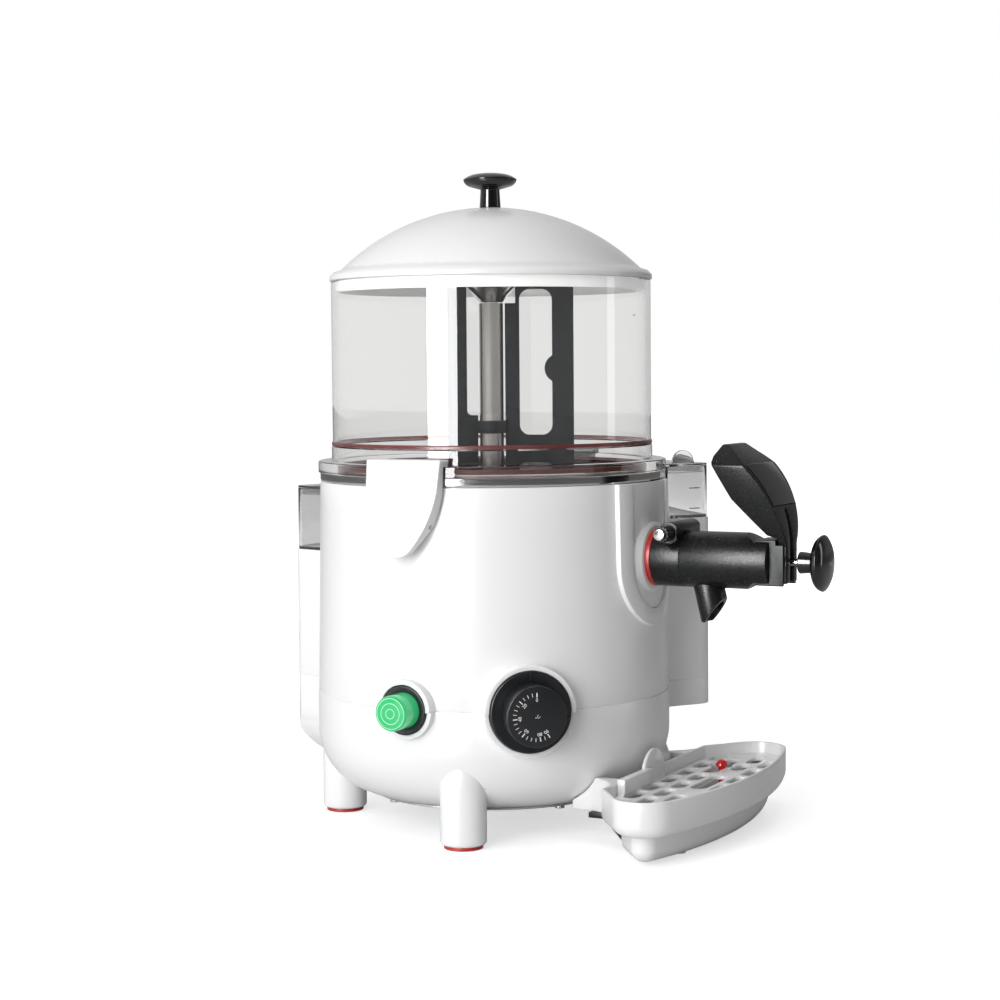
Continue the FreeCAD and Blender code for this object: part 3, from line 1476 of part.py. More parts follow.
def make_tap_body():
    """The collar that locks on the outlet, the barrel, the spout and the yoke."""
    start = d.shield_boss_end + d.tap_seal_width
    seam = d.tap_seam
    bore = d.tap_radius - d.tap_collar_wall
    collar = tap_turned("tap_collar_turned", Outline().corner(bore, start)
                        .corner(d.tap_radius, start).corner(d.tap_radius, seam)
                        .corner(bore, seam))
    boss = lock_cylinder("lock_boss", d.lock_boss_radius, -d.lock_boss_near, d.lock_boss_far)
    clear = tap_turned("lock_clear", Outline().corner(0, start - OVER).corner(bore, start - OVER)
                       .corner(bore, seam + OVER).corner(0, seam + OVER))
    pin_way = lock_cylinder("lock_way", d.lock_pin_radius + d.running_gap,
                            -(d.lock_boss_near + OVER), d.lock_boss_far - OVER * 2)
    past_seam = tap_turned("lock_seam", Outline().corner(0, seam)
                           .corner(d.tap_radius * 2, seam).corner(d.tap_radius * 2, d.tap_mouth)
                           .corner(0, d.tap_mouth))
    keep("tap_collar", cut("tap_collar_cut", fuse("tap_collar_solid", collar, boss),
                           clear, pin_way, past_seam))

    bore = d.tap_bore_radius
    barrel = tap_turned("barrel_turned", Outline().corner(bore, seam).corner(d.tap_radius, seam)
                        .corner(d.tap_radius, d.tap_mouth).corner(bore, d.tap_mouth))
    keep("tap_barrel", cut("barrel_cut", barrel, flat_tool("barrel_flat_top", 1),
                           flat_tool("barrel_flat_low", -1),
                           spout_cylinder("barrel_spout_way", d.spout_bore_radius,
                                          d.spout_tip_drop)))

    skin = tap_turned("spout_skin", Outline().corner(0, seam)
                      .corner(d.tap_radius + d.running_gap, seam)
                      .corner(d.tap_radius + d.running_gap, d.tap_mouth).corner(0, d.tap_mouth))
    cut_foot = d.tap_height - d.spout_tip_drop
    near, run = -d.spout_cut_start, d.spout_cut_run
    slant = front("spout_slant", Outline().corner(near, cut_foot)
                  .corner(near - run, cut_foot + d.spout_cut_rise)
                  .corner(near - run * 2, cut_foot + d.spout_cut_rise * 2)
                  .corner(near - run * 4, cut_foot + d.spout_cut_rise * 2)
                  .corner(near - run * 4, cut_foot - run).corner(near, cut_foot - run),
                  -d.tap_radius, d.tap_radius)
    under = block("spout_under", (-d.tap_radius, -d.tap_mouth, 0),
                  (d.tap_radius, -d.tap_seam + d.tap_radius, cut_foot))
    keep("spout", cut("spout_cut",
                      spout_cylinder("spout_form", d.spout_radius, d.spout_tip_drop * 1.4),
                      spout_cylinder("spout_bore", d.spout_bore_radius, d.spout_tip_drop * 1.5),
                      skin, slant, under))


def flat_tool(name, side):
    """What is taken off the top or the bottom of the barrel's front end."""
    middle = d.tap_height
    high = d.tap_radius + OVER * 2
    return front(name, Outline().corner(-d.tap_flat_start, middle + high * side)
                 .corner(-d.tap_flat_start, middle + (high - OVER * 2) * side)
                 .corner(-d.tap_flat_end, middle + d.tap_flat_height * side)
                 .corner(-(d.tap_mouth + OVER), middle + d.tap_flat_height * side)
                 .corner(-(d.tap_mouth + OVER), middle + high * side),
                 -d.tap_radius, d.tap_radius)


def spout_cylinder(name, radius, length):
    """A cylinder along the leaning axis of the spout, from the middle of the barrel."""
    lean = d.spout_lean
    drop = d.spout_root_drop
    start = d.spout_distance - drop * sin(lean) / cos(lean)
    thing = cylinder(f"{name}_form", radius, length, (0, 0, 0), "-z")
    tilted = fuse_one(name, thing)
    tilted.Placement = FreeCAD.Placement(
        FreeCAD.Vector(0, -start.value, d.tap_height.value),
        FreeCAD.Rotation(FreeCAD.Vector(-1, 0, 0), lean.value))
    bind(tilted, "Placement.Base.y", -start)
    bind(tilted, "Placement.Base.z", d.tap_height)
    bind(tilted, "Placement.Rotation.Angle", lean)
    return tilted


def make_yoke():
    """Guide that closes the barrel's mouth and takes the push of the lever's heel."""
    start = d.yoke_start
    end = start + d.yoke_thickness
    half = d.tap_flat_height + d.yoke_tab_thickness
    middle = d.tap_height
    disc = block("yoke_disc", (-d.yoke_half_width, -end, middle - half),
                 (d.yoke_half_width, -start, middle + half))
    reach = start - d.yoke_tab_length
    tabs = []
    for word, side in (("top", 1), ("low", -1)):
        inner = middle + d.tap_flat_height * side + d.running_gap * side
        outer = middle + half * side
        low, high = (inner, outer) if side > 0 else (outer, inner)
        tabs.append(block(f"yoke_tab_{word}", (-d.yoke_half_width, -start, low),
                          (d.yoke_half_width, -(reach + d.yoke_tab_length / 3), high)))
    cheeks = []
    for word, side in (("left", -1), ("right", 1)):
        inner = (d.lever_heel_half_width + d.part_gap) * side
        outer = d.yoke_half_width * side
        low, high = (inner, outer) if side > 0 else (outer, inner)
        cheeks.append(block(f"yoke_cheek_{word}", (low, -d.yoke_cheek_end, middle - half),
                            (high, -start, d.lever_neck_height - d.part_gap)))
    rod_way = cylinder("yoke_rod_way", d.rod_radius + d.running_gap, d.yoke_thickness + OVER * 2,
                       (0, -(start - OVER), middle), "-y")
    keep("tap_yoke", cut("yoke_cut", fuse("yoke_solid", disc, *tabs, *cheeks), rod_way))


def make_plunger():
    """Piston, its rings, the rod, the return spring and the knob on the rod's end."""
    radius = d.tap_bore_radius - d.running_gap
    start = d.piston_start
    end = start + d.piston_length
    width, depth = d.piston_ring_width, d.piston_ring_depth
    first = start + width / 2
    second = end - width * 2
    groove = radius - depth
    snug = d.rod_radius + d.running_gap / 2
    outline = Outline().corner(0, start).corner(radius, start)
    for ring_start in (first, second):
        outline.corner(radius, ring_start).corner(groove, ring_start)
        outline.corner(groove, ring_start + width).corner(radius, ring_start + width)
    outline.corner(radius, end).corner(snug, end)
    socket = end - d.piston_length / 2
    outline.corner(snug, socket).corner(0, socket)
    keep("tap_piston", tap_turned("piston_turned", outline))
    rings = []
    for word, ring_start in (("back", first), ("front", second)):
        gap = d.running_gap
        rings.append(tap_turned(f"piston_ring_{word}", Outline()
                                .corner(groove + gap, ring_start + gap)
                                .corner(radius + gap / 2, ring_start + gap)
                                .corner(radius + gap / 2, ring_start + width - gap)
                                .corner(groove + gap, ring_start + width - gap)))
    keep("piston_rings", group("rings", *rings))
    neck_end = d.neck_start + d.neck_length + d.tap_knob_length / 2
    rod = tap_turned("rod_turned", Outline().corner(0, socket).corner(d.rod_radius, socket)
                     .corner(d.rod_radius, d.neck_start).corner(d.neck_radius, d.neck_start)
                     .corner(d.neck_radius, neck_end).corner(0, neck_end))
    pin_way = cylinder("rod_pin_way", d.lever_pin_radius + d.running_gap / 2,
                       d.rod_radius * 2, (-d.rod_radius, -d.lever_pivot, d.tap_height), "+x")
    keep("tap_rod", cut("rod_cut", rod, pin_way))
    knob = turned("tap_knob_turned",
                  knob_outline(d.knob_stem_radius, d.knob_radius, d.tap_knob_length,
                               d.tap_knob_length - (d.knob_length - d.knob_cap_start),
                               d.neck_radius + d.running_gap / 2))
    keep("tap_knob", place(knob, (0, -d.tap_knob_start, d.tap_height), "-y"))
    make_spring(end)


def make_spring(start):
    """Coil spring of square wire on the rod, as short as a full stroke presses it."""
    gap = d.spring_wire_width / 2 + d.part_gap
    helix_start = start + gap
    length = d.yoke_start - d.spring_free_room - gap - helix_start
    coil = doc.addObject("Part::Helix", "spring_path")
    bind(coil, "Pitch", length / d.spring_turns)
    bind(coil, "Height", length)
    bind(coil, "Radius", d.spring_radius)
    wire = doc.addObject("Part::RegularPolygon", "spring_wire")
    wire.Polygon = 4
    bind(wire, "Circumradius", d.spring_wire_width / root(size(2)))
    wire.Placement = FreeCAD.Placement(
        FreeCAD.Vector(d.spring_radius.value, 0, 0),
        FreeCAD.Rotation(FreeCAD.Vector(1, 0, 0), 90))
    bind(wire, "Placement.Base.x", d.spring_radius)
    sweep = doc.addObject("Part::Sweep", "spring_sweep")
    sweep.Sections = [wire]
    sweep.Spine = (coil, ["Edge1"])
    sweep.Solid = True
    sweep.Frenet = True
    laid = fuse_one("spring_group", sweep)
    keep("tap_spring", place(laid, (0, -helix_start, d.tap_height), "-y"))


def make_lock_pin():
    """Pin across the collar that holds the tap on the outlet, with a fluted grip."""
    near = -d.lock_pin_reach
    keep("lock_pin", lock_cylinder("lock_pin_form", d.lock_pin_radius, near,
                                   d.lock_boss_far - OVER * 3))
    grip_end = -(d.lock_boss_near + d.part_gap)
    grip_start = grip_end - d.lock_grip_length
    flutes = []
    count = int(d.lock_grip_flutes.value)
    for i in range(count):
        angle = size(360.0 * i) / d.lock_grip_flutes
        x_place = grip_start - OVER
        across = d.lock_grip_radius * cos(angle)
        up = d.lock_grip_radius * sin(angle)
        flutes.append(cylinder(f"flute_{i}", d.lock_grip_radius / 9,
                               d.lock_grip_length + OVER * 2,
                               (x_place, across - d.lock_boss_distance,
                                up + d.tap_height + d.lock_boss_rise), "+x"))
    keep("lock_pin_grip", cut("lock_grip_cut",
                              lock_cylinder("lock_grip_form", d.lock_grip_radius,
                                            grip_start, grip_end),
                              lock_cylinder("lock_grip_bore",
                                            d.lock_pin_radius + d.running_gap / 2,
                                            grip_start - OVER, grip_end + OVER), *flutes))


def make_lever():
    """Curved lever that straddles the rod, with a thin plate let into its front."""
    heel, top = d.lever_heel_height, d.lever_top_height
    blunt = d.lever_pin_radius
    front_y = -d.lever_front
    inner_y = -(d.lever_pivot - blunt * 2)
    clear = d.tap_height + d.tap_flat_height + d.yoke_tab_thickness + OVER
    side = Outline().corner(inner_y, heel, blunt).corner(inner_y, clear)
    side.corner(-d.lever_throat_distance, d.lever_throat_height)
    side.corner(-d.lever_waist_distance, d.lever_waist_height)
    side.corner(-d.lever_back, d.lever_back_height)
    side.corner(-d.lever_back, d.lever_back_top_height)
    side.corner(-(d.lever_back + d.lever_top_distance) / 2, top)
    side.corner(-d.lever_top_distance, top)
    side.corner(-d.lever_brow, d.lever_brow_height)
    side.arc(front_y, d.lever_knee_height, d.lever_front_round)
    side.corner(front_y, heel, blunt)
    wide = d.lever_wide_half_width
    body_side = front("lever_side", side, -wide, wide)
    body_front = lever_slab("lever_face", lever_face(heel, top + OVER))
    half_slot = d.lever_slot_width / 2
    half_top = d.lever_slot_top_width / 2
    slot = lever_slab("lever_slot", mirrored_pair([
        (half_slot, heel - OVER, None), (half_slot, d.lever_knee_height, None),
        (half_top, d.lever_slot_top_height, half_top * 0.9)]))
    pin_way = cylinder("lever_pin_way", d.lever_pin_radius + d.running_gap, wide * 2,
                       (-wide, -d.lever_pivot, d.tap_height), "+x")
    recess = common("plate_recess", plate_zone("recess_zone", d.part_gap),
                    lever_skin("recess_skin", d.lever_plate_depth, -OVER))
    keep("tap_lever", cut("lever_cut", common("lever_solid", body_side, body_front),
                          slot, pin_way, recess))
    keep("lever_plate", common("lever_plate_common", plate_zone("plate_zone", 0),
                               lever_skin("plate_skin", d.lever_plate_depth - d.running_gap,
                                          -d.part_gap)))
    pin_half = d.lever_heel_half_width - OVER
    keep("lever_pin", cylinder("lever_pin_form", d.lever_pin_radius, pin_half * 2,
                               (-pin_half, -d.lever_pivot, d.tap_height), "+x"))


def lever_face(heel, top):
    """The lever seen from the front: a narrow neck that widens to a broad head."""
    narrow, wide = d.lever_heel_half_width, d.lever_wide_half_width
    neck, broad = d.lever_neck_height, d.lever_wide_height
    outline = Outline().corner(-narrow, heel).corner(narrow, heel).corner(narrow, neck)
    outline.arc(wide, broad, d.lever_side_round)
    outline.corner(d.lever_top_half_width, top).corner(-d.lever_top_half_width, top)
    outline.corner(-wide, broad)
    return outline.arc(-narrow, neck, d.lever_side_round)


def lever_slab(name, outline):
    """An upright outline as a slab through the whole depth of the lever."""
    depth = d.lever_front - d.lever_back + OVER * 2
    slab = profile(name, outline, depth / 2)
    bind(slab, "Placement.Base.y", -(d.lever_back - OVER))
    return slab


def plate_zone(name, grow):
    """Upright wedge that bounds the plate's place on the lever."""
    return lever_slab(name, mirrored_pair([
        (d.lever_plate_bottom_half_width + grow, d.lever_plate_bottom_height - grow, None),
        (d.lever_plate_top_half_width + grow, d.lever_plate_top_height + grow, None)]))


def lever_skin(name, deep, shallow):
    """A layer along the lever's curved front, between two depths below it."""
    rise = d.lever_brow_height - d.lever_knee_height
    run = d.lever_front - d.lever_brow
    chord = root(rise * rise + run * run)

    def lowered(distance, height, depth):
        return -distance + rise / chord * depth, height - run / chord * depth

    brow = (d.lever_brow, d.lever_brow_height)
    knee = (d.lever_front, d.lever_knee_height)
    outline = Outline().corner(*lowered(*brow, deep))
    outline.arc(*lowered(*knee, deep), d.lever_front_round)
    outline.corner(*lowered(*knee, shallow))
    outline.arc(*lowered(*brow, shallow), -d.lever_front_round)
    wide = d.lever_wide_half_width
    return front(name, outline, -wide, wide)


# ---------------------------------------------------------------- drip tray


def tray_plan(name):
    """Sketch of the tray's rim: straight back, slanting ends and a bowed front."""
    bow, end = d.tray_bow_radius, d.tray_end_radius
    bow_middle = d.tray_front - bow
    reach = d.tray_end_distance - bow_middle
    end_x = root((bow - end) * (bow - end) - reach * reach)
    turn = d.tray_end_angle
    side_x = end_x + end * cos(turn)
    side_distance = d.tray_end_distance - end * sin(turn)
    back_x = side_x - (side_distance - d.tray_back) * sin(turn) / cos(turn)
    outer_x = end_x + end
    bow_x = end_x * bow / (bow - end)
    bow_distance = bow_middle + reach * bow / (bow - end)
    outline = Outline().corner(back_x, -d.tray_back).corner(-back_x, -d.tray_back)
    outline.corner(-side_x, -side_distance)
    outline.arc(-outer_x, -d.tray_end_distance, end).arc(-bow_x, -bow_distance, end)
    outline.arc(bow_x, -bow_distance, bow)
    outline.arc(outer_x, -d.tray_end_distance, end).arc(side_x, -side_distance, end)
    sketch = doc.addObject("Sketcher::SketchObject", name)
    draw(sketch, outline)
    return sketch


def tray_slab(name, plan, inset, bottom, top):
    """Upright slab on the tray plan, drawn in by inset."""
    base = plan
    if size(inset).value:
        base = doc.addObject("Part::Offset2D", f"{name}_inset")
        base.Source = plan
        bind(base, "Value", -size(inset))
        base.Join = "Intersection"
    slab = doc.addObject("Part::Extrusion", name)
    slab.Base = base
    slab.DirMode = "Custom"
    slab.Dir = FreeCAD.Vector(0, 0, 1)
    slab.Solid = True
    bind(slab, "LengthFwd", size(top) - size(bottom))
    return place(slab, (0, 0, bottom))


def round_bottom(name, slab, radius):
    """Round the bottom edges of a slab."""
    doc.recompute()
    low = slab.Shape.BoundBox.ZMin
    edges = [(i, radius.value, radius.value) for i, edge in enumerate(slab.Shape.Edges, start=1)
             if edge.BoundBox.ZMax < low + 0.01]
    thing = doc.addObject("Part::Fillet", name)
    thing.Base = slab
    thing.Edges = edges
    return thing


def belly_envelope(name, gap):
    """The casing's outside grown by a gap, to keep the tray's wings clear of it."""
    radius = d.casing_low_radius + gap
    return turned(name, Outline().corner(0, d.casing_floor_height - gap)
                  .corner(radius, d.casing_floor_height - gap, d.belly_round + gap)
                  .corner(radius, d.gauge_shelf_height).corner(0, d.gauge_shelf_height))


def tray_wing(name, side):
    """One of the two fins that reach back under the casing and flare into the tray."""
    root_distance = d.tray_back + d.tray_wall
    inner = d.wing_inner
    outer = inner + d.wing_thickness
    flare = outer + d.wing_flare * 0.8
    outline = Outline()
    corners = [(inner, root_distance), (inner, d.wing_end_distance), (outer, d.wing_end_distance)]
    if side < 0:
        outline.corner(-flare, -root_distance).corner(-outer, -d.wing_flare_distance)
        outline.points[-1] = (-outer, -d.wing_flare_distance, None, d.wing_flare)
        for x, distance in reversed(corners):
            outline.corner(-x, -distance)
    else:
        for x, distance in corners:
            outline.corner(x, -distance)
        outline.corner(outer, -d.wing_flare_distance).arc(flare, -root_distance, d.wing_flare)
    return plate(name, outline, d.wing_bottom_height, d.tray_rim_height)


def make_tray():
    """Drip tray on four studs: a bowed basin with a smaller one under it, and two fins."""
    plan = tray_plan("tray_plan")
    rim, step, floor = d.tray_rim_height, d.tray_step_height, d.tray_floor_height
    wall, inset = d.tray_wall, d.tray_basin_inset
    bottom_round = d.tray_bottom_round
    outer = fuse("tray_outer",
                 round_bottom("tray_upper_round", tray_slab("tray_upper", plan, 0, step, rim),
                              bottom_round),
                 round_bottom("tray_lower_round",
                              tray_slab("tray_lower", plan, inset, floor, step + OVER),
                              bottom_round))
    inner = fuse("tray_inner",
                 round_bottom("tray_upper_in_round",
                              tray_slab("tray_upper_in", plan, wall, step + wall, rim + OVER),
                              bottom_round / 2),
                 round_bottom("tray_lower_in_round",
                              tray_slab("tray_lower_in", plan, inset + wall, floor + wall,
                                        step + wall + OVER),
                              bottom_round / 2))
    wings = cut("tray_wings", fuse("wing_pair", tray_wing("wing_left", -1),
                                   tray_wing("wing_right", 1)),
                belly_envelope("wing_clear", d.part_gap * 3))
    studs = [cylinder(f"tray_stud_{word}_{row}", d.tray_stud_radius,
                      floor + wall / 2, (d.tray_stud_offset * side, -distance, 0))
             for word, side in (("left", -1), ("right", 1))
             for row, distance in (("near", d.tray_stud_near), ("far", d.tray_stud_far))]
    keep("drip_tray", cut("tray_cut", fuse("tray_solid", outer, wings, *studs), inner))
    make_grille(plan)
    make_float()
    make_hooks()


def grille_slots():
    """Rows of round-ended slots, left out where the middle oval and the float are."""
    slots = []
    for row, first in ((2, -3), (1, -2.5), (0, -3), (-1, -2.5)):
        distance = d.grille_middle - d.grille_row_pitch * (row - 0.5)
        for step in range(int(-first * 2) + 1):
            column = first + step
            if row == 0 and column in (-1, 0, 1):
                continue
            slots.append(round_slot(f"slot_{len(slots)}", d.grille_pitch * column, -distance,
                                    d.grille_slot_length, d.grille_slot_width))
    slots.append(round_slot("slot_middle", size(0), -(d.grille_middle + d.grille_row_pitch / 2),
                            d.grille_slot_length * 2, d.grille_slot_width * 1.2))
    return slots


def round_slot(name, x, y, length, width):
    """Cutting tool for one slot that lies along X."""
    low = d.grille_top_height - d.grille_thickness - OVER
    high = d.grille_top_height + OVER
    half = (length - width) / 2
    middle = block(f"{name}_middle", (x - half, y - width / 2, low), (x + half, y + width / 2, high))
    ends = [cylinder(f"{name}_{word}", width / 2, high - low, (x + half * way, y, low))
            for word, way in (("left", -1), ("right", 1))]
    return fuse(name, middle, *ends)


def make_grille(plan):
    """Slotted grille with a skirt that stands on the tray's step and a finger tab."""
    gap = d.tray_wall + d.part_gap
    top = d.grille_top_height
    bottom = top - d.grille_thickness
    foot = d.tray_step_height + d.tray_wall
    sheet = tray_slab("grille_sheet", plan, gap, bottom, top)
    skirt = cut("grille_skirt_cut",
                round_bottom("grille_skirt_round",
                             tray_slab("grille_skirt_form", plan, gap, foot, bottom + OVER),
                             d.tray_bottom_round - d.tray_wall),
                tray_slab("grille_skirt_in", plan, gap + d.tray_bottom_round, foot - OVER,
                          bottom + OVER * 2))
    lighten = tray_slab("grille_skirt_hollow", plan, gap + d.grille_skirt,
                        foot + d.tray_bottom_round, bottom)
    radius = d.finger_tab_radius
    back = -(d.tray_back + gap)
    disc = cylinder("finger_disc", radius, d.finger_tab_thickness,
                    (d.finger_tab_offset, back, top + d.finger_tab_rise), "-y")
    upper = block("finger_zone", (d.finger_tab_offset - radius, back - radius, bottom),
                  (d.finger_tab_offset + radius, 0, top + radius * 2))
    ledge = block("finger_ledge", (d.finger_ledge_end, back - d.finger_ledge_depth, bottom),
                  (d.finger_tab_offset - radius / 2, back, top + d.finger_ledge_height))
    float_hole = cylinder("float_hole", d.float_radius + d.float_hole_gap, d.grille_top_height,
                          (d.float_offset, -d.float_distance, bottom - OVER))
    keep("tray_grille", cut("grille_cut",
                            fuse("grille_solid", sheet, skirt, common("finger_tab", disc, upper),
                                 ledge),
                            lighten, float_hole, *grille_slots()))


def make_float():
    """Red level float that rises through the grille as the tray fills."""
    foot = d.tray_floor_height + d.tray_wall + d.running_gap
    top = d.float_top_height
    float_body = turned("float_turned", Outline().corner(0, foot)
                        .corner(d.float_disc_radius, foot)
                        .corner(d.float_disc_radius, foot + d.float_disc_height)
                        .corner(d.float_stem_radius, foot + d.float_disc_height)
                        .corner(d.float_stem_radius, top - d.float_radius)
                        .corner(d.float_radius, top - d.float_radius)
                        .arc(0, top, d.float_radius))
    keep("tray_float", place(float_body, (d.float_offset, -d.float_distance, 0)))


def make_hooks():
    """Black stops under the tray's fins, that steady it behind the basin."""
    top = d.wing_bottom_height
    deep = d.hook_thickness
    low = top - d.hook_drop
    middle = d.wing_inner + d.wing_thickness / 2
    half = d.hook_width / 2
    hooks = []
    for word, side in (("left", -1), ("right", 1)):
        x = middle * side
        outline = Outline().corner(-d.hook_root, top).corner(-d.hook_bend, top)
        outline.corner(-d.hook_toe, low).corner(-d.hook_toe - deep, low)
        outline.corner(-d.hook_toe - deep, low - deep).corner(deep / 2 - d.hook_toe, low - deep)
        outline.corner(deep / 2 - d.hook_bend, top - deep).corner(-d.hook_root, top - deep)
        hooks.append(front(f"hook_{word}", outline, x - half, x + half))
    keep("tray_hooks", group("hook_pair", *hooks))


# ---------------------------------------------------------------- water gauge and tank


def glass_box(name, place_of, bottom, top):
    """Open clear box that stands on a housing and clears the round casing."""
    angle, half_width, reach = place_of
    inset = OVER
    clear = d.bowl_flange_radius + OVER * 2
    wall = d.glass_wall
    outside = cut(f"{name}_outside",
                  plate(f"{name}_outer", housing_plan(half_width - inset, reach - inset,
                                                      d.housing_round - inset), bottom, top),
                  cylinder(f"{name}_clear", clear, top, (0, 0, 0)))
    inside = cut(f"{name}_inside",
                 plate(f"{name}_inner", housing_plan(half_width - inset - wall,
                                                     reach - inset - wall,
                                                     d.housing_round - inset - wall),
                       bottom + wall, top + OVER),
                 cylinder(f"{name}_inner_clear", clear + wall, top + OVER * 2, (0, 0, 0)))
    return turn_about_z(cut(f"{name}_cut", outside, inside), angle)


def glass_lid(name, place_of, height):
    """Clear lid with a half-round lift tab along one side and a plug that centres it."""
    angle, half_width, reach = place_of
    clear = d.bowl_flange_radius + OVER * 2
    wall = d.glass_wall
    inset = OVER
    sheet = cut(f"{name}_sheet",
                plate(f"{name}_form", housing_plan(half_width - inset, reach - inset,
                                                   d.housing_round - inset),
                      height, height + d.glass_lid_thickness),
                cylinder(f"{name}_clear", clear, height * 2, (0, 0, 0)))
    inner = inset + wall + d.part_gap
    plug = cut(f"{name}_plug",
               plate(f"{name}_plug_form", housing_plan(half_width - inner, reach - inner,
                                                       d.housing_round - inner),
                     height - d.glass_lid_plug, height),
               cylinder(f"{name}_plug_clear", clear + wall + d.part_gap, height * 2, (0, 0, 0)),
               plate(f"{name}_plug_hollow",
                     housing_plan(half_width - inner - wall, reach - inner - wall,
                                  d.housing_round - inner - wall),
                     height - d.glass_lid_plug - OVER, height))
    middle = (clear + reach) / 2
    side = size(d.lid_tab_inset) - half_width
    top = height + d.glass_lid_thickness
    disc = cylinder(f"{name}_disc", d.lid_tab_radius, d.lid_tab_thickness,
                    (middle, side, top), "+y")
    above = block(f"{name}_above", (middle - d.lid_tab_radius, side, height),
                  (middle + d.lid_tab_radius, side + d.lid_tab_thickness,
                   top + d.lid_tab_radius))
    tab = common(f"{name}_tab", disc, above)
    return turn_about_z(fuse(f"{name}_solid", sheet, plug, tab), angle)


def make_water_boxes():
    keep("gauge_glass", glass_box("gauge_box", GAUGE, d.gauge_shelf_height,
                                  d.gauge_glass_height))
    keep("gauge_lid", glass_lid("gauge_cover", GAUGE, d.gauge_glass_height))
    keep("tank_glass", glass_box("tank_box", TANK, d.tank_shelf_height, d.tank_glass_height))
    keep("tank_lid", glass_lid("tank_cover", TANK, d.tank_glass_height))


# ---------------------------------------------------------------- build, check and write


def build():
    make_upper_shell()
    make_lower_shell()
    make_base()
    make_pans()
    make_bowl()
    make_lid()
    make_drive()
    make_stirrer()
    make_gear_motor()
    make_heater()
    make_switch()
    make_thermostat()
    make_wiring()
    make_latches()
    make_shield()
    make_tap_body()
    make_yoke()
    make_plunger()
    make_lock_pin()
    make_lever()
    make_tray()
    make_water_boxes()
    doc.recompute()


def check():
    """Stop if an object failed or a sub-part has no sound shape."""
    failed = [thing.Name for thing in doc.Objects
              if "Invalid" in thing.State or "Error" in thing.State]
    if failed:
        raise RuntimeError(f"failed objects: {', '.join(failed)}")
    unsound = [thing.Label for thing in PARTS
               if thing.Shape.isNull() or not thing.Shape.isValid() or not thing.Shape.Solids]
    if unsound:
        raise RuntimeError(f"sub-parts with no sound shape: {', '.join(unsound)}")


def write():
    os.makedirs("parts", exist_ok=True)
    for thing in PARTS:
        thing.Shape.exportStep(f"parts/{thing.Label}.step")
        box = thing.Shape.BoundBox
        print(f"{thing.Label:20s} solids {len(thing.Shape.Solids)} "
              f"volume {thing.Shape.Volume / 1000:9.2f} cm3  "
              f"x {box.XMin:7.1f} {box.XMax:7.1f}  y {box.YMin:7.1f} {box.YMax:7.1f}  "
              f"z {box.ZMin:6.1f} {box.ZMax:6.1f}")
    print(len(PARTS), "sub-parts")


build()
check()
write()
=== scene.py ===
"""Hot chocolate dispenser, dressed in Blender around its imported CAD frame.

Lengths are metres in the frame of the CAD model: the origin on the casing's
axis at table level, +Z up, the tap pointing to -Y and the switch on the -X side.
"""
import json
import math

import bmesh
import bpy
from mathutils import Matrix, Vector

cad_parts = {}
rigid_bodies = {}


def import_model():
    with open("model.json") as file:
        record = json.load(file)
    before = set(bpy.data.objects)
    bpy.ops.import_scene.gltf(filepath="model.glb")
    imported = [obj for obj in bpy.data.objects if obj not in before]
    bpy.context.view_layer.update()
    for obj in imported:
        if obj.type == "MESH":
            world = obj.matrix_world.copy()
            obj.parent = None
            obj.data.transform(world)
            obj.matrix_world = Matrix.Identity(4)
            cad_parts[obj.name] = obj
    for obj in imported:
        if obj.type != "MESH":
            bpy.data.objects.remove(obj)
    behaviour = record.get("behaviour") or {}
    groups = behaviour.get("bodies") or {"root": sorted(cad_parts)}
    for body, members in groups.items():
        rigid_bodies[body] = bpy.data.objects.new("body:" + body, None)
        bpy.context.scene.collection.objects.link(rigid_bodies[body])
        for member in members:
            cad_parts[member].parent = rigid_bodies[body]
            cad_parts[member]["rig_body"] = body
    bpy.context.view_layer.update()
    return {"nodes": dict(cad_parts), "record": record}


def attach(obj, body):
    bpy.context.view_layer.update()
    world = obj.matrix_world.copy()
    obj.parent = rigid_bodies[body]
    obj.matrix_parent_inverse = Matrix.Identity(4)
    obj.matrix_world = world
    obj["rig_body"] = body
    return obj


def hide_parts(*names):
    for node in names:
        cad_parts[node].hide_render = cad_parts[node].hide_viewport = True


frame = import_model()
NODES = frame["nodes"]
MM = 0.001


# ---------------------------------------------------------------- materials

# Nearly all of a noise pattern lies between these two values.
NOISE_LOW = 0.3
NOISE_HIGH = 0.7


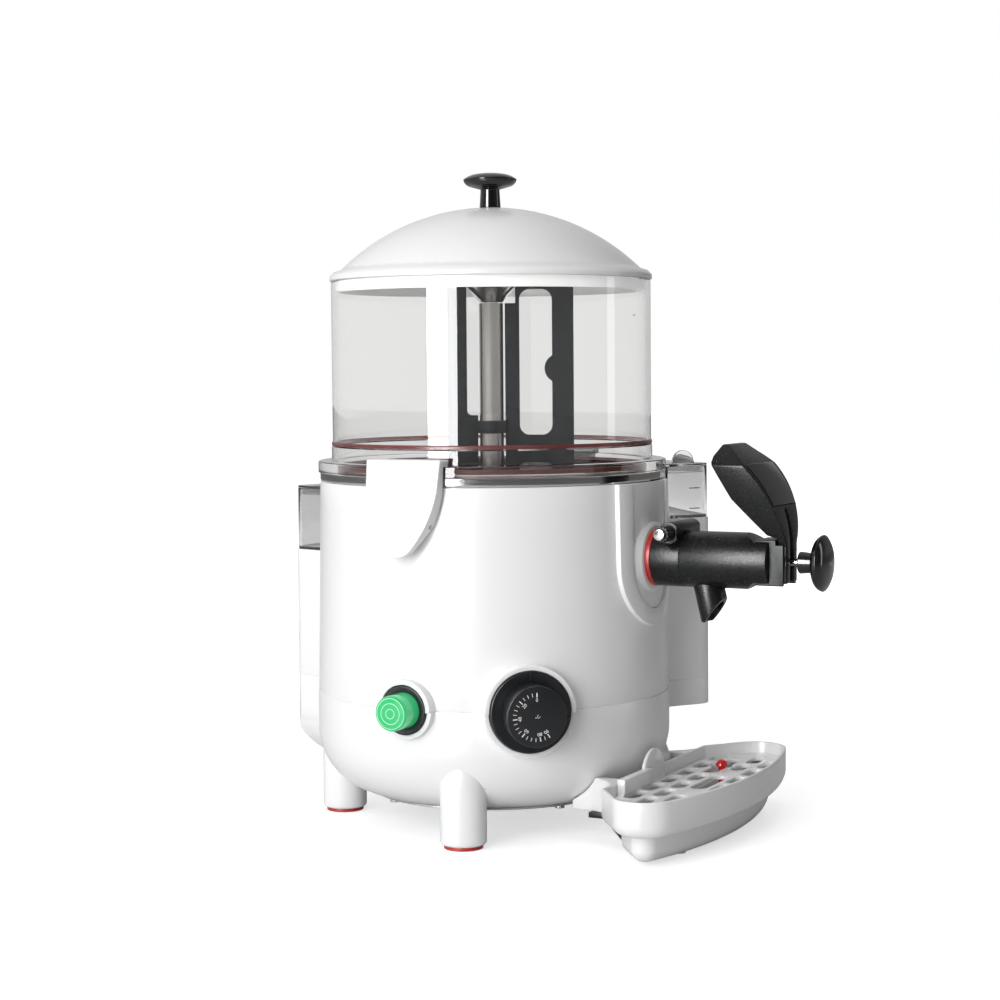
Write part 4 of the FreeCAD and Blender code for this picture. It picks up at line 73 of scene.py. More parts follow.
class Look:
    """A procedural material around one Principled shader."""

    def __init__(self, name, color, roughness, **sockets):
        self.material = bpy.data.materials.new(name)
        self.material.use_nodes = True
        self.tree = self.material.node_tree
        self.shader = self.tree.nodes["Principled BSDF"]
        self.output = self.tree.nodes["Material Output"]
        self.shader.inputs["Base Color"].default_value = (*color, 1.0)
        self.shader.inputs["Roughness"].default_value = roughness
        for socket, number in sockets.items():
            self.shader.inputs[socket.replace("_", " ")].default_value = number
        self.color = color

    def node(self, kind, **settings):
        made = self.tree.nodes.new(kind)
        for key, value in settings.items():
            if key in made.inputs:
                made.inputs[key].default_value = value
            else:
                setattr(made, key, value)
        return made

    def link(self, start, end):
        self.tree.links.new(start, end)

    def place(self, stretch=(1, 1, 1)):
        """Object coordinates, stretched along the axes."""
        coordinates = self.node("ShaderNodeTexCoord")
        mapping = self.node("ShaderNodeMapping")
        mapping.inputs["Scale"].default_value = stretch
        self.link(coordinates.outputs["Object"], mapping.inputs["Vector"])
        return mapping.outputs["Vector"]

    def noise(self, scale, detail=4.0, stretch=(1, 1, 1)):
        made = self.node("ShaderNodeTexNoise", Scale=scale, Detail=detail)
        self.link(self.place(stretch), made.inputs["Vector"])
        return made.outputs["Fac"]

    def spread(self, source, start, end, low=0.0, high=1.0):
        """Where a pattern runs from start to end, a number that runs from low to high."""
        made = self.node("ShaderNodeMapRange")
        made.inputs["From Min"].default_value = start
        made.inputs["From Max"].default_value = end
        made.inputs["To Min"].default_value = low
        made.inputs["To Max"].default_value = high
        self.link(source, made.inputs["Value"])
        return made.outputs["Result"]

    def grain(self, scale, height, detail=2.0, stretch=(1, 1, 1)):
        """Fine surface relief."""
        bump = self.node("ShaderNodeBump")
        bump.inputs["Distance"].default_value = height
        self.link(self.noise(scale, detail, stretch), bump.inputs["Height"])
        self.link(bump.outputs["Normal"], self.shader.inputs["Normal"])
        return self

    def wear(self, scale, low, high, stretch=(1, 1, 1)):
        """Roughness that drifts between two values."""
        pattern = self.noise(scale, stretch=stretch)
        self.link(self.spread(pattern, NOISE_LOW, NOISE_HIGH, low, high),
                  self.shader.inputs["Roughness"])
        return self

    def tint(self, other, scale, low=NOISE_LOW, high=NOISE_HIGH):
        """Colour that drifts between the base colour and another."""
        mix = self.node("ShaderNodeMix", data_type="RGBA")
        mix.inputs["A"].default_value = (*self.color, 1.0)
        mix.inputs["B"].default_value = (*other, 1.0)
        self.link(self.spread(self.noise(scale), low, high), mix.inputs["Factor"])
        self.link(mix.outputs["Result"], self.shader.inputs["Base Color"])
        return self

    def let_light_through(self, color=(1, 1, 1)):
        """Shadow rays pass, so that what stands behind clear plastic is lit."""
        path = self.node("ShaderNodeLightPath")
        clear = self.node("ShaderNodeBsdfTransparent")
        clear.inputs["Color"].default_value = (*color, 1.0)
        mix = self.node("ShaderNodeMixShader")
        self.link(path.outputs["Is Shadow Ray"], mix.inputs["Fac"])
        self.link(self.shader.outputs["BSDF"], mix.inputs[1])
        self.link(clear.outputs["BSDF"], mix.inputs[2])
        self.link(mix.outputs["Shader"], self.output.inputs["Surface"])
        return self


def shell_white():
    look = Look("shell_white", (0.82, 0.82, 0.825), 0.27, Coat_Weight=0.2, Coat_Roughness=0.12)
    return look.tint((0.81, 0.81, 0.813), 3.0)


def clear_plastic():
    look = Look("clear_plastic", (0.975, 0.975, 0.968), 0.012, IOR=1.47,
                Transmission_Weight=1.0)
    look.grain(14.0, 0.00003, 1.0)
    return look.let_light_through((0.93, 0.93, 0.925))


def smoked_plastic():
    look = Look("smoked_plastic", (0.74, 0.745, 0.74), 0.05, IOR=1.47, Transmission_Weight=1.0)
    look.grain(30.0, 0.00003, 1.0)
    return look.let_light_through((0.72, 0.72, 0.72))


def polished_steel():
    look = Look("polished_steel", (0.6, 0.59, 0.58), 0.12, Metallic=1.0)
    look.grain(260.0, 0.000005, 3.0, (1, 1, 14))
    return look.wear(120.0, 0.08, 0.17, (1, 1, 10))


# Polished steel darkened for the centre tube: the darker base colour is painted shade inside the
# bowl.
def tube_steel_painted_shade():
    look = Look("tube_steel_painted_shade", (0.33, 0.32, 0.31), 0.2, Metallic=1.0)
    look.grain(260.0, 0.000005, 3.0, (1, 1, 14))
    return look.wear(120.0, 0.16, 0.26, (1, 1, 10))


def plain_steel():
    look = Look("plain_steel", (0.5, 0.51, 0.52), 0.42, Metallic=0.85)
    look.grain(500.0, 0.00002)
    return look.tint((0.42, 0.43, 0.44), 40.0)


def seal_red():
    look = Look("seal_red", (0.5, 0.022, 0.016), 0.42, Subsurface_Weight=0.05)
    look.grain(700.0, 0.00002)
    return look.tint((0.38, 0.014, 0.012), 60.0)


# A darker copy of seal_red for the seals seen through the bowl wall: the darkening is painted
# shade.
def seal_dark():
    look = Look("seal_dark", (0.07, 0.012, 0.01), 0.45, Specular_IOR_Level=0.3)
    look.grain(700.0, 0.00002)
    return look.tint((0.05, 0.009, 0.008), 60.0)


def tap_black():
    look = Look("tap_black", (0.007, 0.0075, 0.008), 0.3, Specular_IOR_Level=0.32)
    look.grain(1500.0, 0.00012)
    return look.tint((0.045, 0.046, 0.047), 1500.0, low=0.6, high=0.76).wear(300.0, 0.25, 0.33)


def knob_black():
    look = Look("knob_black", (0.006, 0.006, 0.007), 0.13, Coat_Weight=0.25, Coat_Roughness=0.05)
    return look.grain(60.0, 0.00003, 1.0)


def dial_black():
    look = Look("dial_black", (0.01, 0.011, 0.013), 0.32, Specular_IOR_Level=0.4)
    look.grain(1400.0, 0.00002)
    return look.wear(80.0, 0.27, 0.37)


def frame_grey():
    look = Look("frame_grey", (0.014, 0.015, 0.016), 0.4, Specular_IOR_Level=0.32)
    look.grain(1500.0, 0.00012)
    return look.tint((0.05, 0.052, 0.054), 1500.0, low=0.58, high=0.76)


def stirrer_charcoal():
    look = Look("stirrer_charcoal", (0.008, 0.009, 0.0105), 0.26, Specular_IOR_Level=0.14)
    look.grain(1200.0, 0.00003)
    return look.tint((0.011, 0.012, 0.014), 70.0)


def inner_plastic():
    look = Look("inner_plastic", (0.3, 0.3, 0.31), 0.5)
    look.grain(800.0, 0.00003)
    return look.tint((0.24, 0.24, 0.25), 50.0)


def button_green():
    look = Look("button_green", (0.03, 0.46, 0.17), 0.16, Transmission_Weight=0.2,
                Coat_Weight=0.5, Coat_Roughness=0.05)
    look.shader.inputs["Emission Color"].default_value = (0.05, 0.62, 0.24, 1.0)
    look.shader.inputs["Emission Strength"].default_value = 0.27
    return look.tint((0.03, 0.45, 0.17), 300.0)


def float_red():
    look = Look("float_red", (0.72, 0.02, 0.02), 0.14, Coat_Weight=0.4)
    return look.grain(200.0, 0.00001).tint((0.6, 0.01, 0.012), 90.0)


def band_red():
    look = Look("band_red", (0.3, 0.1, 0.095), 0.25, IOR=1.45, Transmission_Weight=0.55)
    return look.tint((0.2, 0.06, 0.06), 40.0).let_light_through((0.5, 0.3, 0.3))


def print_white():
    look = Look("print_white", (0.8, 0.8, 0.78), 0.5)
    return look.grain(3000.0, 0.000006).tint((0.7, 0.7, 0.69), 900.0)


def lens_green():
    look = Look("lens_green", (0.35, 0.72, 0.42), 0.2, Coat_Weight=0.5)
    look.shader.inputs["Emission Color"].default_value = (0.35, 0.8, 0.45, 1.0)
    look.shader.inputs["Emission Strength"].default_value = 0.25
    return look.grain(800.0, 0.00001)


def mark_grey():
    look = Look("mark_grey", (0.06, 0.06, 0.06), 0.5)
    return look.tint((0.09, 0.09, 0.09), 1200.0)


LOOKS = {
    "shell_white": shell_white(),
    "clear_plastic": clear_plastic(),
    "smoked_plastic": smoked_plastic(),
    "polished_steel": polished_steel(),
    "plain_steel": plain_steel(),
    "seal_red": seal_red(),
    "seal_dark": seal_dark(),
    "tap_black": tap_black(),
    "knob_black": knob_black(),
    "dial_black": dial_black(),
    "frame_grey": frame_grey(),
    "stirrer_charcoal": stirrer_charcoal(),
    "inner_plastic": inner_plastic(),
    "button_green": button_green(),
    "float_red": float_red(),
}
PRINT_WHITE = print_white()
LENS_GREEN = lens_green()
MARK_GREY = mark_grey()
BAND_RED = band_red()
SLOT_OF = {part["node"]: part["material_slot"] for part in frame["record"]["subparts"]}


# Nodes whose look differs from the rest of their slot. The centre tube's steel is darker than
# polished_steel: painted shade for its place inside the bowl.
LOOK_OF_NODE = {"centre_tube": tube_steel_painted_shade()}


def look_of(node):
    return LOOK_OF_NODE.get(node, LOOKS[SLOT_OF[node]])


def dress_cad_nodes():
    """Give each CAD node its look."""
    for node in SLOT_OF:
        mesh = NODES[node].data
        mesh.materials.clear()
        mesh.materials.append(look_of(node).material)


# ---------------------------------------------------------------- pieces

SMOOTH_ANGLE = math.radians(32.0)
FLAT_ANGLE = math.radians(0.5)
WELD = 0.01 * MM
BEVEL_STEPS = 3


def add_piece(name, mesh, body, look):
    """Put a finished mesh in the scene as a piece that rides on a body."""
    piece = bpy.data.objects.new(name, mesh)
    bpy.context.scene.collection.objects.link(piece)
    mesh.materials.clear()
    mesh.materials.append(look.material)
    mesh.shade_smooth()
    mesh.set_sharp_from_angle(angle=SMOOTH_ANGLE)
    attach(piece, body)
    return piece


def mesh_of(name, work):
    mesh = bpy.data.meshes.new(name)
    work.to_mesh(mesh)
    work.free()
    return mesh


def rounded(node, width):
    """A copy of a CAD node with its sharp edges rounded, which stands for that node."""
    work = bmesh.new()
    work.from_mesh(NODES[node].data)
    bmesh.ops.remove_doubles(work, verts=work.verts, dist=WELD)
    bmesh.ops.dissolve_limit(work, angle_limit=FLAT_ANGLE, verts=work.verts, edges=work.edges)
    sharp = [edge for edge in work.edges
             if len(edge.link_faces) == 2 and edge.calc_face_angle() > SMOOTH_ANGLE]
    bmesh.ops.bevel(work, geom=sharp, offset=width * MM, offset_type="OFFSET",
                    segments=BEVEL_STEPS, profile=0.5, affect="EDGES", clamp_overlap=False,
                    miter_outer="SHARP")
    bmesh.ops.triangulate(work, faces=[face for face in work.faces if len(face.verts) > 4])
    body = NODES[node]["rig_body"]
    piece = add_piece(node + "_rounded", mesh_of(node, work), body, look_of(node))
    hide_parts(node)


def outward(angle, height, distance):
    """Frame on the casing: X runs right, Y up and Z out, seen from outside; mm and degrees."""
    turn = math.radians(angle)
    out = Vector((math.cos(turn), math.sin(turn), 0))
    right = Vector((-out.y, out.x, 0))
    up = Vector((0, 0, 1))
    place = (out * distance + up * height) * MM
    return Matrix(((right.x, up.x, out.x, place.x), (right.y, up.y, out.y, place.y),
                   (right.z, up.z, out.z, place.z), (0, 0, 0, 1)))


def spun(work, outline, matrix, steps=96, closed=False):
    """Turn an outline of (radius, height) pairs in mm round the frame's Z."""
    rings = []
    for radius, height in outline:
        if radius == 0:
            rings.append([work.verts.new(matrix @ Vector((0, 0, height * MM)))])
            continue
        ring = []
        for step in range(steps):
            turn = math.tau * step / steps
            ring.append(work.verts.new(matrix @ (Vector((
                radius * math.cos(turn), radius * math.sin(turn), height)) * MM)))
        rings.append(ring)
    pairs = list(zip(rings, rings[1:]))
    if closed:
        pairs.append((rings[-1], rings[0]))
    for lower, upper in pairs:
        for step in range(steps):
            ahead = (step + 1) % steps
            corners = [lower[step % len(lower)], lower[ahead % len(lower)],
                       upper[ahead % len(upper)], upper[step % len(upper)]]
            work.faces.new(list(dict.fromkeys(corners)))


def bar(work, matrix, length, width, height):
    """A raised line with sloped edges, centred on the frame, along its Y; sizes in mm."""
    half_long, half_wide = length / 2, width / 2
    slope = min(height, half_wide * 0.5)
    levels = ((half_wide, half_long, 0.0), (half_wide, half_long, height * 0.5),
              (half_wide - slope * 0.5, half_long - slope * 0.5, height))
    loops = [[work.verts.new(matrix @ (Vector((x * across, y * along, up)) * MM))
              for x, y in ((-1, -1), (1, -1), (1, 1), (-1, 1))]
             for across, along, up in levels]
    work.faces.new(loops[0][::-1])
    work.faces.new(loops[-1])
    for lower, upper in zip(loops, loops[1:]):
        for step in range(4):
            ahead = (step + 1) % 4
            work.faces.new((lower[step], lower[ahead], upper[ahead], upper[step]))


def lettering(work, text, matrix, size, height):
    """Generic numbers as raised print, centred on the frame; sizes in mm."""
    curve = bpy.data.curves.new("numbers", "FONT")
    curve.body = text
    curve.size = size * MM
    curve.extrude = height * MM / 2
    curve.resolution_u = 3
    curve.align_x = "CENTER"
    curve.align_y = "CENTER"
    holder = bpy.data.objects.new("numbers", curve)
    bpy.context.scene.collection.objects.link(holder)
    bpy.context.view_layer.update()
    mesh = bpy.data.meshes.new_from_object(holder)
    mesh.transform(matrix)
    work.from_mesh(mesh)
    bpy.data.objects.remove(holder)
    bpy.data.curves.remove(curve)
    bpy.data.meshes.remove(mesh)


def turned_by(degrees):
    return Matrix.Rotation(math.radians(degrees), 4, "Z")


def moved_by(x, y, z=0.0):
    return Matrix.Translation(Vector((x, y, z)) * MM)


# Widths in mm of the rounded edges.
ROUNDED = {
    "upper_shell": 0.5, "lower_shell": 0.4, "lid": 0.6, "lid_knob": 0.4,
    "latch_left": 1.0, "latch_right": 1.0, "tap_shield": 0.3, "tap_seal": 0.5,
    "tap_collar": 0.25, "tap_barrel": 0.5, "spout": 0.3, "tap_yoke": 0.6, "tap_lever": 1.1,
    "lever_plate": 0.35, "tap_knob": 0.4, "lock_pin": 0.3, "lock_pin_grip": 0.3,
    "drip_tray": 0.8, "tray_grille": 0.8, "tray_float": 0.5, "tray_hooks": 0.6,
    "stirrer": 0.5, "stirrer_nut": 0.3, "drive_cap": 0.5, "thermostat_bezel": 0.5,
    "thermostat_knob": 0.4, "switch_bezel": 0.3, "rubber_feet": 0.4, "gauge_glass": 0.4,
    "gauge_lid": 0.4, "tank_glass": 0.4, "tank_lid": 0.4, "cord_gland": 0.4,
    "motor_bracket": 0.3, "gearbox": 0.8, "motor": 0.8, "terminal_block": 0.5,
    "base_plate": 0.25, "base_screws": 0.25,
}

CONTROL_HEIGHT = 95.6
THERMOSTAT_ANGLE = 218.0
THERMOSTAT_BEZEL_FACE = 136.0
THERMOSTAT_KNOB_END = 155.0
SWITCH_ANGLE = 180.0
SWITCH_BUTTON_START = 125.0
SWITCH_BUTTON_END = 151.0
DIAL_SWEEP = 212.0
DIAL_STEPS = 18
DIAL_NUMBERS = {0: "0", 4: "20", 8: "40", 12: "60", 16: "80", 18: "90"}
DIAL_TICK_END = 16.3
DIAL_NUMBER_RADIUS = 11.4
DIAL_NUMBER_SIZE = 3.3
# Length and width of the scale's numbered ticks and of the others.
DIAL_MAIN_TICK = (3.0, 0.72)
DIAL_TICK = (2.5, 0.4)
DIAL_UNIT_ANGLE = 48.0
DIAL_UNIT_SIZE = 3.1
DIAL_UNIT_SHIFT = (0.3, -0.6)
PRINT_THICKNESS = 0.06
POINTER_RADIUS = 24.2
POINTER_SIZE = (5.0, 0.9, 1.3)
POINTER_SINK = 1.0


def make_dial_print():
    """Ticks and numbers of the thermostat's scale, printed on the face of its knob."""
    face = outward(THERMOSTAT_ANGLE, CONTROL_HEIGHT, THERMOSTAT_KNOB_END)
    work = bmesh.new()
    for step in range(DIAL_STEPS + 1):
        ray = face @ turned_by(DIAL_SWEEP * step / DIAL_STEPS)
        main = step in DIAL_NUMBERS
        length, width = DIAL_MAIN_TICK if main else DIAL_TICK
        bar(work, ray @ moved_by(0, DIAL_TICK_END - length / 2), length, width, PRINT_THICKNESS)
        if main:
            lettering(work, DIAL_NUMBERS[step], ray @ moved_by(0, DIAL_NUMBER_RADIUS),
                      DIAL_NUMBER_SIZE, PRINT_THICKNESS)
    lettering(work, "°C", face @ turned_by(DIAL_UNIT_ANGLE) @ moved_by(*DIAL_UNIT_SHIFT),
              DIAL_UNIT_SIZE, PRINT_THICKNESS)
    add_piece("dial_print", mesh_of("dial_print", work), "thermostat_knob",
              PRINT_WHITE)


def make_dial_pointer():
    """The raised mark on the surround that the scale is read against."""
    face = outward(THERMOSTAT_ANGLE, CONTROL_HEIGHT, THERMOSTAT_BEZEL_FACE - POINTER_SINK)
    work = bmesh.new()
    bar(work, face @ moved_by(0, POINTER_RADIUS), *POINTER_SIZE)
    add_piece("dial_pointer", mesh_of("dial_pointer", work), "machine",
              LOOKS["frame_grey"])


BUTTON_RINGS = (3.2, 7.0, 10.4)
BUTTON_RADIUS = 12.0
BUTTON_CROWN = 0.8
BUTTON_EDGE_DEPTH = 2.2
BUTTON_EDGE_ROUND = 1.3
RING_WIDTH = 0.5
RING_DEPTH = 0.3
RING_LIP = 0.1
LINE_DROP = 0.05
LINE_FLOOR = 0.06


def make_switch_button():
    """The green push button, its face cut with three rings that hold pale lines."""
    place = outward(SWITCH_ANGLE, CONTROL_HEIGHT, SWITCH_BUTTON_START)
    face = SWITCH_BUTTON_END - SWITCH_BUTTON_START
    half = RING_WIDTH / 2

    def level(radius):
        return face - BUTTON_CROWN * (radius / BUTTON_RADIUS) ** 2

    edge = face - BUTTON_EDGE_DEPTH
    outline = [(0, 0), (BUTTON_RADIUS, 0), (BUTTON_RADIUS, edge)]
    for degrees in (20, 45, 70):
        turn = math.radians(degrees)
        outline.append((BUTTON_RADIUS - BUTTON_EDGE_ROUND * (1 - math.cos(turn)),
                        edge + BUTTON_EDGE_ROUND * math.sin(turn)))
    for radius in reversed(BUTTON_RINGS):
        outline += [(radius + half + RING_LIP, level(radius + RING_WIDTH)),
                    (radius + half, level(radius) - RING_DEPTH),
                    (radius - half, level(radius) - RING_DEPTH),
                    (radius - half - RING_LIP, level(radius - RING_WIDTH))]
    outline.append((0, face))
    work = bmesh.new()
    spun(work, outline, place)
    button = add_piece("button_lens", mesh_of("button_lens", work), "switch_button",
                       LOOKS["button_green"])
    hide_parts("switch_button")
    lines = bmesh.new()
    for radius in BUTTON_RINGS:
        top = level(radius) - LINE_DROP
        low = top - RING_DEPTH + LINE_FLOOR
        spun(lines, [(radius + half, low), (radius + half, top), (radius - half, top),
                     (radius - half, low)], place, closed=True)
    add_piece("button_lines", mesh_of("button_lines", lines), "switch_button",
              LENS_GREEN)


GAUGE_ANGLE = -35.0
GAUGE_HALF_WIDTH = 46.0
GAUGE_LINE_REACH = 144.0
GAUGE_LEVELS = (221.0, 236.0)
GAUGE_LINE_SIZE = (9.0, 0.7, 0.08)
BOWL_LINE_ANGLE = -44.0
BOWL_LEVEL = 363.6
BOWL_RADIUS = 115.0
BOWL_LINE_SIZE = (5.0, 0.8, 0.1)


def make_level_lines():
    """Plain level lines: two on the water gauge and one on the bowl."""
    work = bmesh.new()
    for side in (-1, 1):
        for height in GAUGE_LEVELS:
            flank = outward(GAUGE_ANGLE + 90.0 * side, height, GAUGE_HALF_WIDTH)
            bar(work, flank @ moved_by(-GAUGE_LINE_REACH * side, 0) @ turned_by(90.0),
                *GAUGE_LINE_SIZE)
    add_piece("gauge_lines", mesh_of("gauge_lines", work), "machine", MARK_GREY)
    work = bmesh.new()
    wall = outward(BOWL_LINE_ANGLE, BOWL_LEVEL, BOWL_RADIUS)
    bar(work, wall @ turned_by(90.0), *BOWL_LINE_SIZE)
    add_piece("bowl_line", mesh_of("bowl_line", work), "machine", MARK_GREY)


BAND_FOOT = 271.1
BAND_HEIGHT = 2.6
BAND_RADIUS = 115.7
BAND_INNER = 115.05


def make_bowl_band():
    """The dark red line that stands on the bowl's moulded step."""
    top = BAND_FOOT + BAND_HEIGHT
    soft = BAND_HEIGHT / 4
    work = bmesh.new()
    spun(work, [(BAND_INNER, BAND_FOOT), (BAND_RADIUS, BAND_FOOT),
                (BAND_RADIUS, top - soft), (BAND_RADIUS - soft, top), (BAND_INNER, top)],
         Matrix(), 192, closed=True)
    add_piece("bowl_band", mesh_of("bowl_band", work), "machine", BAND_RED)


def make_pieces():
    for node, width in ROUNDED.items():
        rounded(node, width)
    make_dial_print()
    make_dial_pointer()
    make_switch_button()
    make_level_lines()
    make_bowl_band()


# ---------------------------------------------------------------- studio

CAMERA_LENS = 77.634
CAMERA_DISTANCE = 1.56163
CAMERA_HEIGHT = 0.327632
CAMERA_AZIMUTH = math.radians(207.5)
CAMERA_YAW = 0.0034823
CAMERA_PITCH = 0.0625498
CAMERA_ROLL = -0.0079039


def make_camera():
    away = Vector((math.cos(CAMERA_AZIMUTH), math.sin(CAMERA_AZIMUTH), 0))
    side = Vector((-away.y, away.x, 0))
    up = Vector((0, 0, 1))
    level_side = side * math.cos(CAMERA_YAW) + away * math.sin(CAMERA_YAW)
    level_ahead = side * math.sin(CAMERA_YAW) - away * math.cos(CAMERA_YAW)
    ahead = level_ahead * math.cos(CAMERA_PITCH) - up * math.sin(CAMERA_PITCH)
    above = level_ahead * math.sin(CAMERA_PITCH) + up * math.cos(CAMERA_PITCH)
    right = level_side * math.cos(CAMERA_ROLL) + above * math.sin(CAMERA_ROLL)
    top = above * math.cos(CAMERA_ROLL) - level_side * math.sin(CAMERA_ROLL)
    data = bpy.data.cameras.new("camera")
    data.sensor_width = 36.0
    data.lens = CAMERA_LENS
    data.clip_start = 0.05
    data.clip_end = 50.0
    camera = bpy.data.objects.new("camera", data)
    place = away * CAMERA_DISTANCE + up * CAMERA_HEIGHT
    camera.matrix_world = Matrix((
        (right.x, top.x, -ahead.x, place.x),
        (right.y, top.y, -ahead.y, place.y),
        (right.z, top.z, -ahead.z, place.z),
        (0, 0, 0, 1)))
    bpy.context.scene.collection.objects.link(camera)
    bpy.context.scene.camera = camera


def studio_point(angle, height, distance):
    """A point round the machine; the angle runs to the right of the camera's view."""
    turn = CAMERA_AZIMUTH + math.radians(angle)
    return Vector((math.cos(turn) * distance, math.sin(turn) * distance, height))


AIM_HEIGHT = 0.25


def softbox(name, angle, height, distance, width, tall, light):
    """A rectangular lamp that faces the machine, given by the light that it throws on it."""
    data = bpy.data.lights.new(name, "AREA")
    data.shape = "RECTANGLE"
    data.size = width
    data.size_y = tall
    place = studio_point(angle, height, distance)
    aimed = Vector((0, 0, AIM_HEIGHT)) - place
    data.energy = light * (math.pi * aimed.length) ** 2
    lamp = bpy.data.objects.new(name, data)
    lamp.location = place
    lamp.rotation_euler = aimed.to_track_quat("-Z", "Y").to_euler()
    lamp.visible_camera = False
    lamp.visible_transmission = False
    lamp.visible_glossy = False
    bpy.context.scene.collection.objects.link(lamp)


def card(name, angle, height, distance, width, tall, glow):
    """A panel that is seen only in reflections."""
    place = studio_point(angle, height, distance)
    turn = (Vector((0, 0, AIM_HEIGHT)) - place).to_track_quat("-Z", "Y").to_matrix().to_4x4()
    mesh = bpy.data.meshes.new(name)
    mesh.from_pydata([(x * width / 2, y * tall / 2, 0) for x, y in
                      ((-1, -1), (1, -1), (1, 1), (-1, 1))], [], [(0, 1, 2, 3)])
    panel = bpy.data.objects.new(name, mesh)
    panel.matrix_world = Matrix.Translation(place) @ turn
    bpy.context.scene.collection.objects.link(panel)
    look = Look(name, (0, 0, 0), 1.0)
    light = look.node("ShaderNodeEmission")
    light.inputs["Color"].default_value = (1, 1, 1, 1)
    light.inputs["Strength"].default_value = glow
    look.link(light.outputs["Emission"], look.output.inputs["Surface"])
    mesh.materials.append(look.material)
    for ray in ("camera", "diffuse", "transmission", "volume_scatter", "shadow"):
        setattr(panel, "visible_" + ray, False)


AMBIENT = 0.16
SEEN_THROUGH_PLASTIC = 0.84
FLOOR_THROUGH_PLASTIC = 0.6
# What shiny surfaces reflect: degrees to the right of the camera, and brightness.
SURROUNDINGS = ((-180, 0.6), (-110, 0.65), (-70, 0.36), (-20, 0.07), (40, 0.05), (60, 0.2),
                (80, 0.07), (105, 0.1), (122, 0.26), (150, 0.16), (165, 0.5), (180, 0.6))


def make_world():
    """White for the camera, soft grey light for matt surfaces, a studio for shiny ones."""
    world = bpy.data.worlds.new("studio")
    world.use_nodes = True
    tree = world.node_tree
    back = tree.nodes["Background"]
    path = tree.nodes.new("ShaderNodeLightPath")
    where = tree.nodes.new("ShaderNodeTexCoord")
    turn = tree.nodes.new("ShaderNodeVectorRotate")
    turn.rotation_type = "Z_AXIS"
    turn.inputs["Angle"].default_value = -CAMERA_AZIMUTH
    tree.links.new(where.outputs["Generated"], turn.inputs["Vector"])
    radial = tree.nodes.new("ShaderNodeTexGradient")
    radial.gradient_type = "RADIAL"
    tree.links.new(turn.outputs["Vector"], radial.inputs["Vector"])
    ramp = tree.nodes.new("ShaderNodeValToRGB")
    stops = ramp.color_ramp.elements
    stops.remove(stops[1])
    for order, (angle, glow) in enumerate(SURROUNDINGS):
        spot = (angle + 180.0) / 360.0
        stop = stops[0] if order == 0 else stops.new(spot)
        stop.position = spot
        stop.color = (glow, glow, glow, 1)
    tree.links.new(radial.outputs["Fac"], ramp.inputs["Fac"])
    seen = None
    for ray, shade in (("Is Glossy Ray", ramp.outputs["Color"]),
                       ("Is Transmission Ray", (SEEN_THROUGH_PLASTIC,) * 3),
                       ("Is Camera Ray", (1.0,) * 3)):
        mix = tree.nodes.new("ShaderNodeMix")
        mix.data_type = "RGBA"
        if seen is None:
            mix.inputs["A"].default_value = (AMBIENT, AMBIENT, AMBIENT, 1)
        else:
            tree.links.new(seen, mix.inputs["A"])
        if isinstance(shade, tuple):
            mix.inputs["B"].default_value = (*shade, 1)
        else:
            tree.links.new(shade, mix.inputs["B"])
        tree.links.new(path.outputs[ray], mix.inputs["Factor"])
        seen = mix.outputs["Result"]
    tree.links.new(seen, back.inputs["Color"])
    back.inputs["Strength"].default_value = 1.0
    bpy.context.scene.world = world


FLOOR_HALF = 12.0
FLOOR_DROP = -0.0002
FLOOR_WHITE = 0.66
FLOOR_FADE_SCALE = 0.7
FLOOR_GLOW_NEAR = 0.6
FLOOR_GLOW_FAR = 0.98


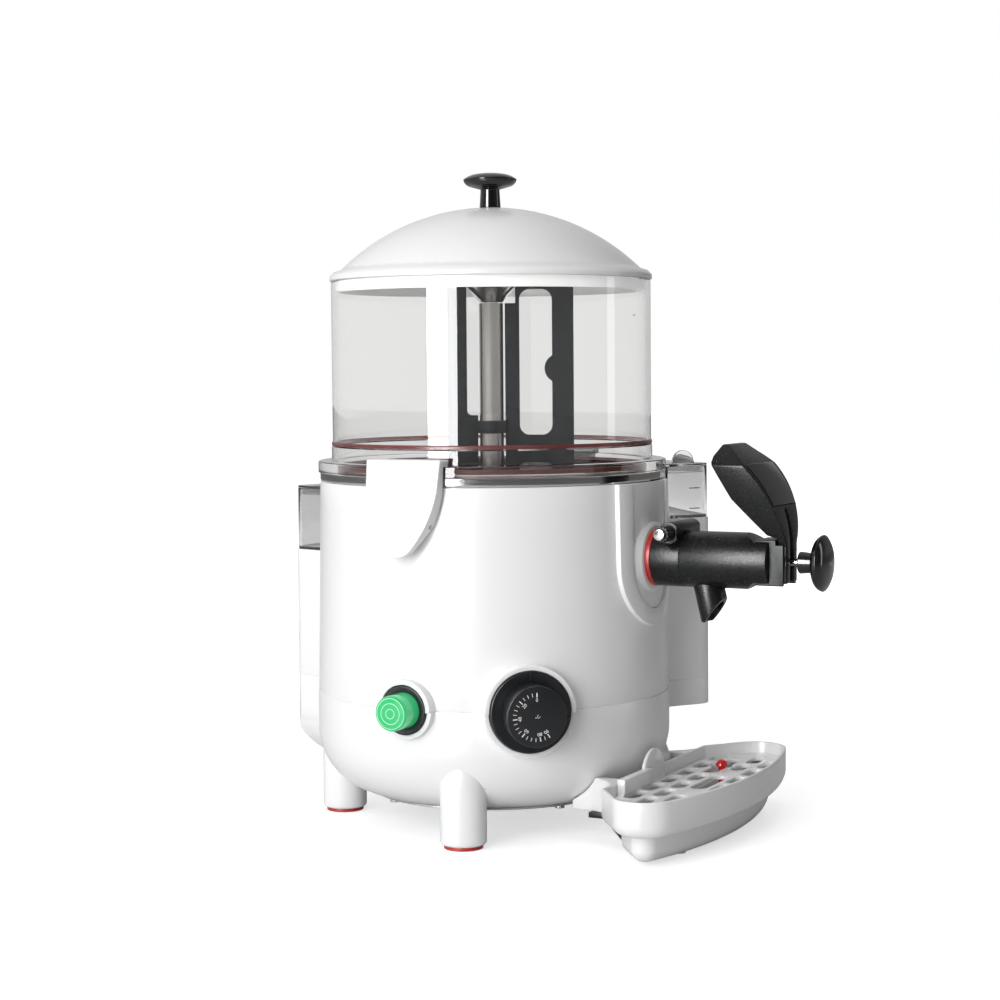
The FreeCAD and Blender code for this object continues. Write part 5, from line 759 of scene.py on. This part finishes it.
def make_floor():
    """A pale floor that keeps the machine's shadow and fades into the background."""
    mesh = bpy.data.meshes.new("floor")
    mesh.from_pydata([(x * FLOOR_HALF, y * FLOOR_HALF, FLOOR_DROP) for x, y in
                      ((-1, -1), (1, -1), (1, 1), (-1, 1))], [], [(0, 1, 2, 3)])
    floor = bpy.data.objects.new("floor", mesh)
    bpy.context.scene.collection.objects.link(floor)
    look = Look("floor", (FLOOR_WHITE,) * 3, 0.7)
    path = look.node("ShaderNodeLightPath")
    glow = look.node("ShaderNodeEmission")
    glow.inputs["Color"].default_value = (1, 1, 1, 1)
    dimmed = look.node("ShaderNodeMath", operation="MULTIPLY")
    dimmed.inputs[1].default_value = FLOOR_THROUGH_PLASTIC
    look.link(path.outputs["Is Transmission Ray"], dimmed.inputs[0])
    seen = look.node("ShaderNodeMath", operation="MAXIMUM")
    look.link(path.outputs["Is Camera Ray"], seen.inputs[0])
    look.link(dimmed.outputs[0], seen.inputs[1])
    near = look.node("ShaderNodeTexGradient", gradient_type="SPHERICAL")
    look.link(look.place((FLOOR_FADE_SCALE,) * 3), near.inputs["Vector"])
    fade = look.node("ShaderNodeMapRange", interpolation_type="SMOOTHSTEP")
    fade.inputs["To Min"].default_value = FLOOR_GLOW_FAR
    fade.inputs["To Max"].default_value = FLOOR_GLOW_NEAR
    look.link(near.outputs["Fac"], fade.inputs["Value"])
    strength = look.node("ShaderNodeMath", operation="MULTIPLY")
    look.link(fade.outputs["Result"], strength.inputs[1])
    look.link(seen.outputs[0], strength.inputs[0])
    look.link(strength.outputs[0], glow.inputs["Strength"])
    add = look.node("ShaderNodeAddShader")
    look.link(look.shader.outputs["BSDF"], add.inputs[0])
    look.link(glow.outputs["Emission"], add.inputs[1])
    look.link(add.outputs["Shader"], look.output.inputs["Surface"])
    mesh.materials.append(look.material)


def make_studio():
    make_camera()
    make_world()
    make_floor()
    softbox("key", -30.0, 0.75, 2.2, 1.5, 1.7, 0.86)
    softbox("left_fill", -95.0, 0.6, 2.2, 1.4, 1.4, 0.24)
    softbox("top", 0.0, 2.4, 0.5, 1.4, 1.4, 0.34)
    softbox("back_fill", 160.0, 0.8, 2.4, 1.4, 1.4, 0.3)
    card("key_card", -34.0, 0.6, 2.2, 0.85, 1.9, 24.0)
    card("side_card", 92.0, 0.5, 2.2, 0.3, 1.6, 2.6)
    bpy.context.scene.view_settings.view_transform = "Standard"


# ---------------------------------------------------------------- build

dress_cad_nodes()
make_pieces()
make_studio()
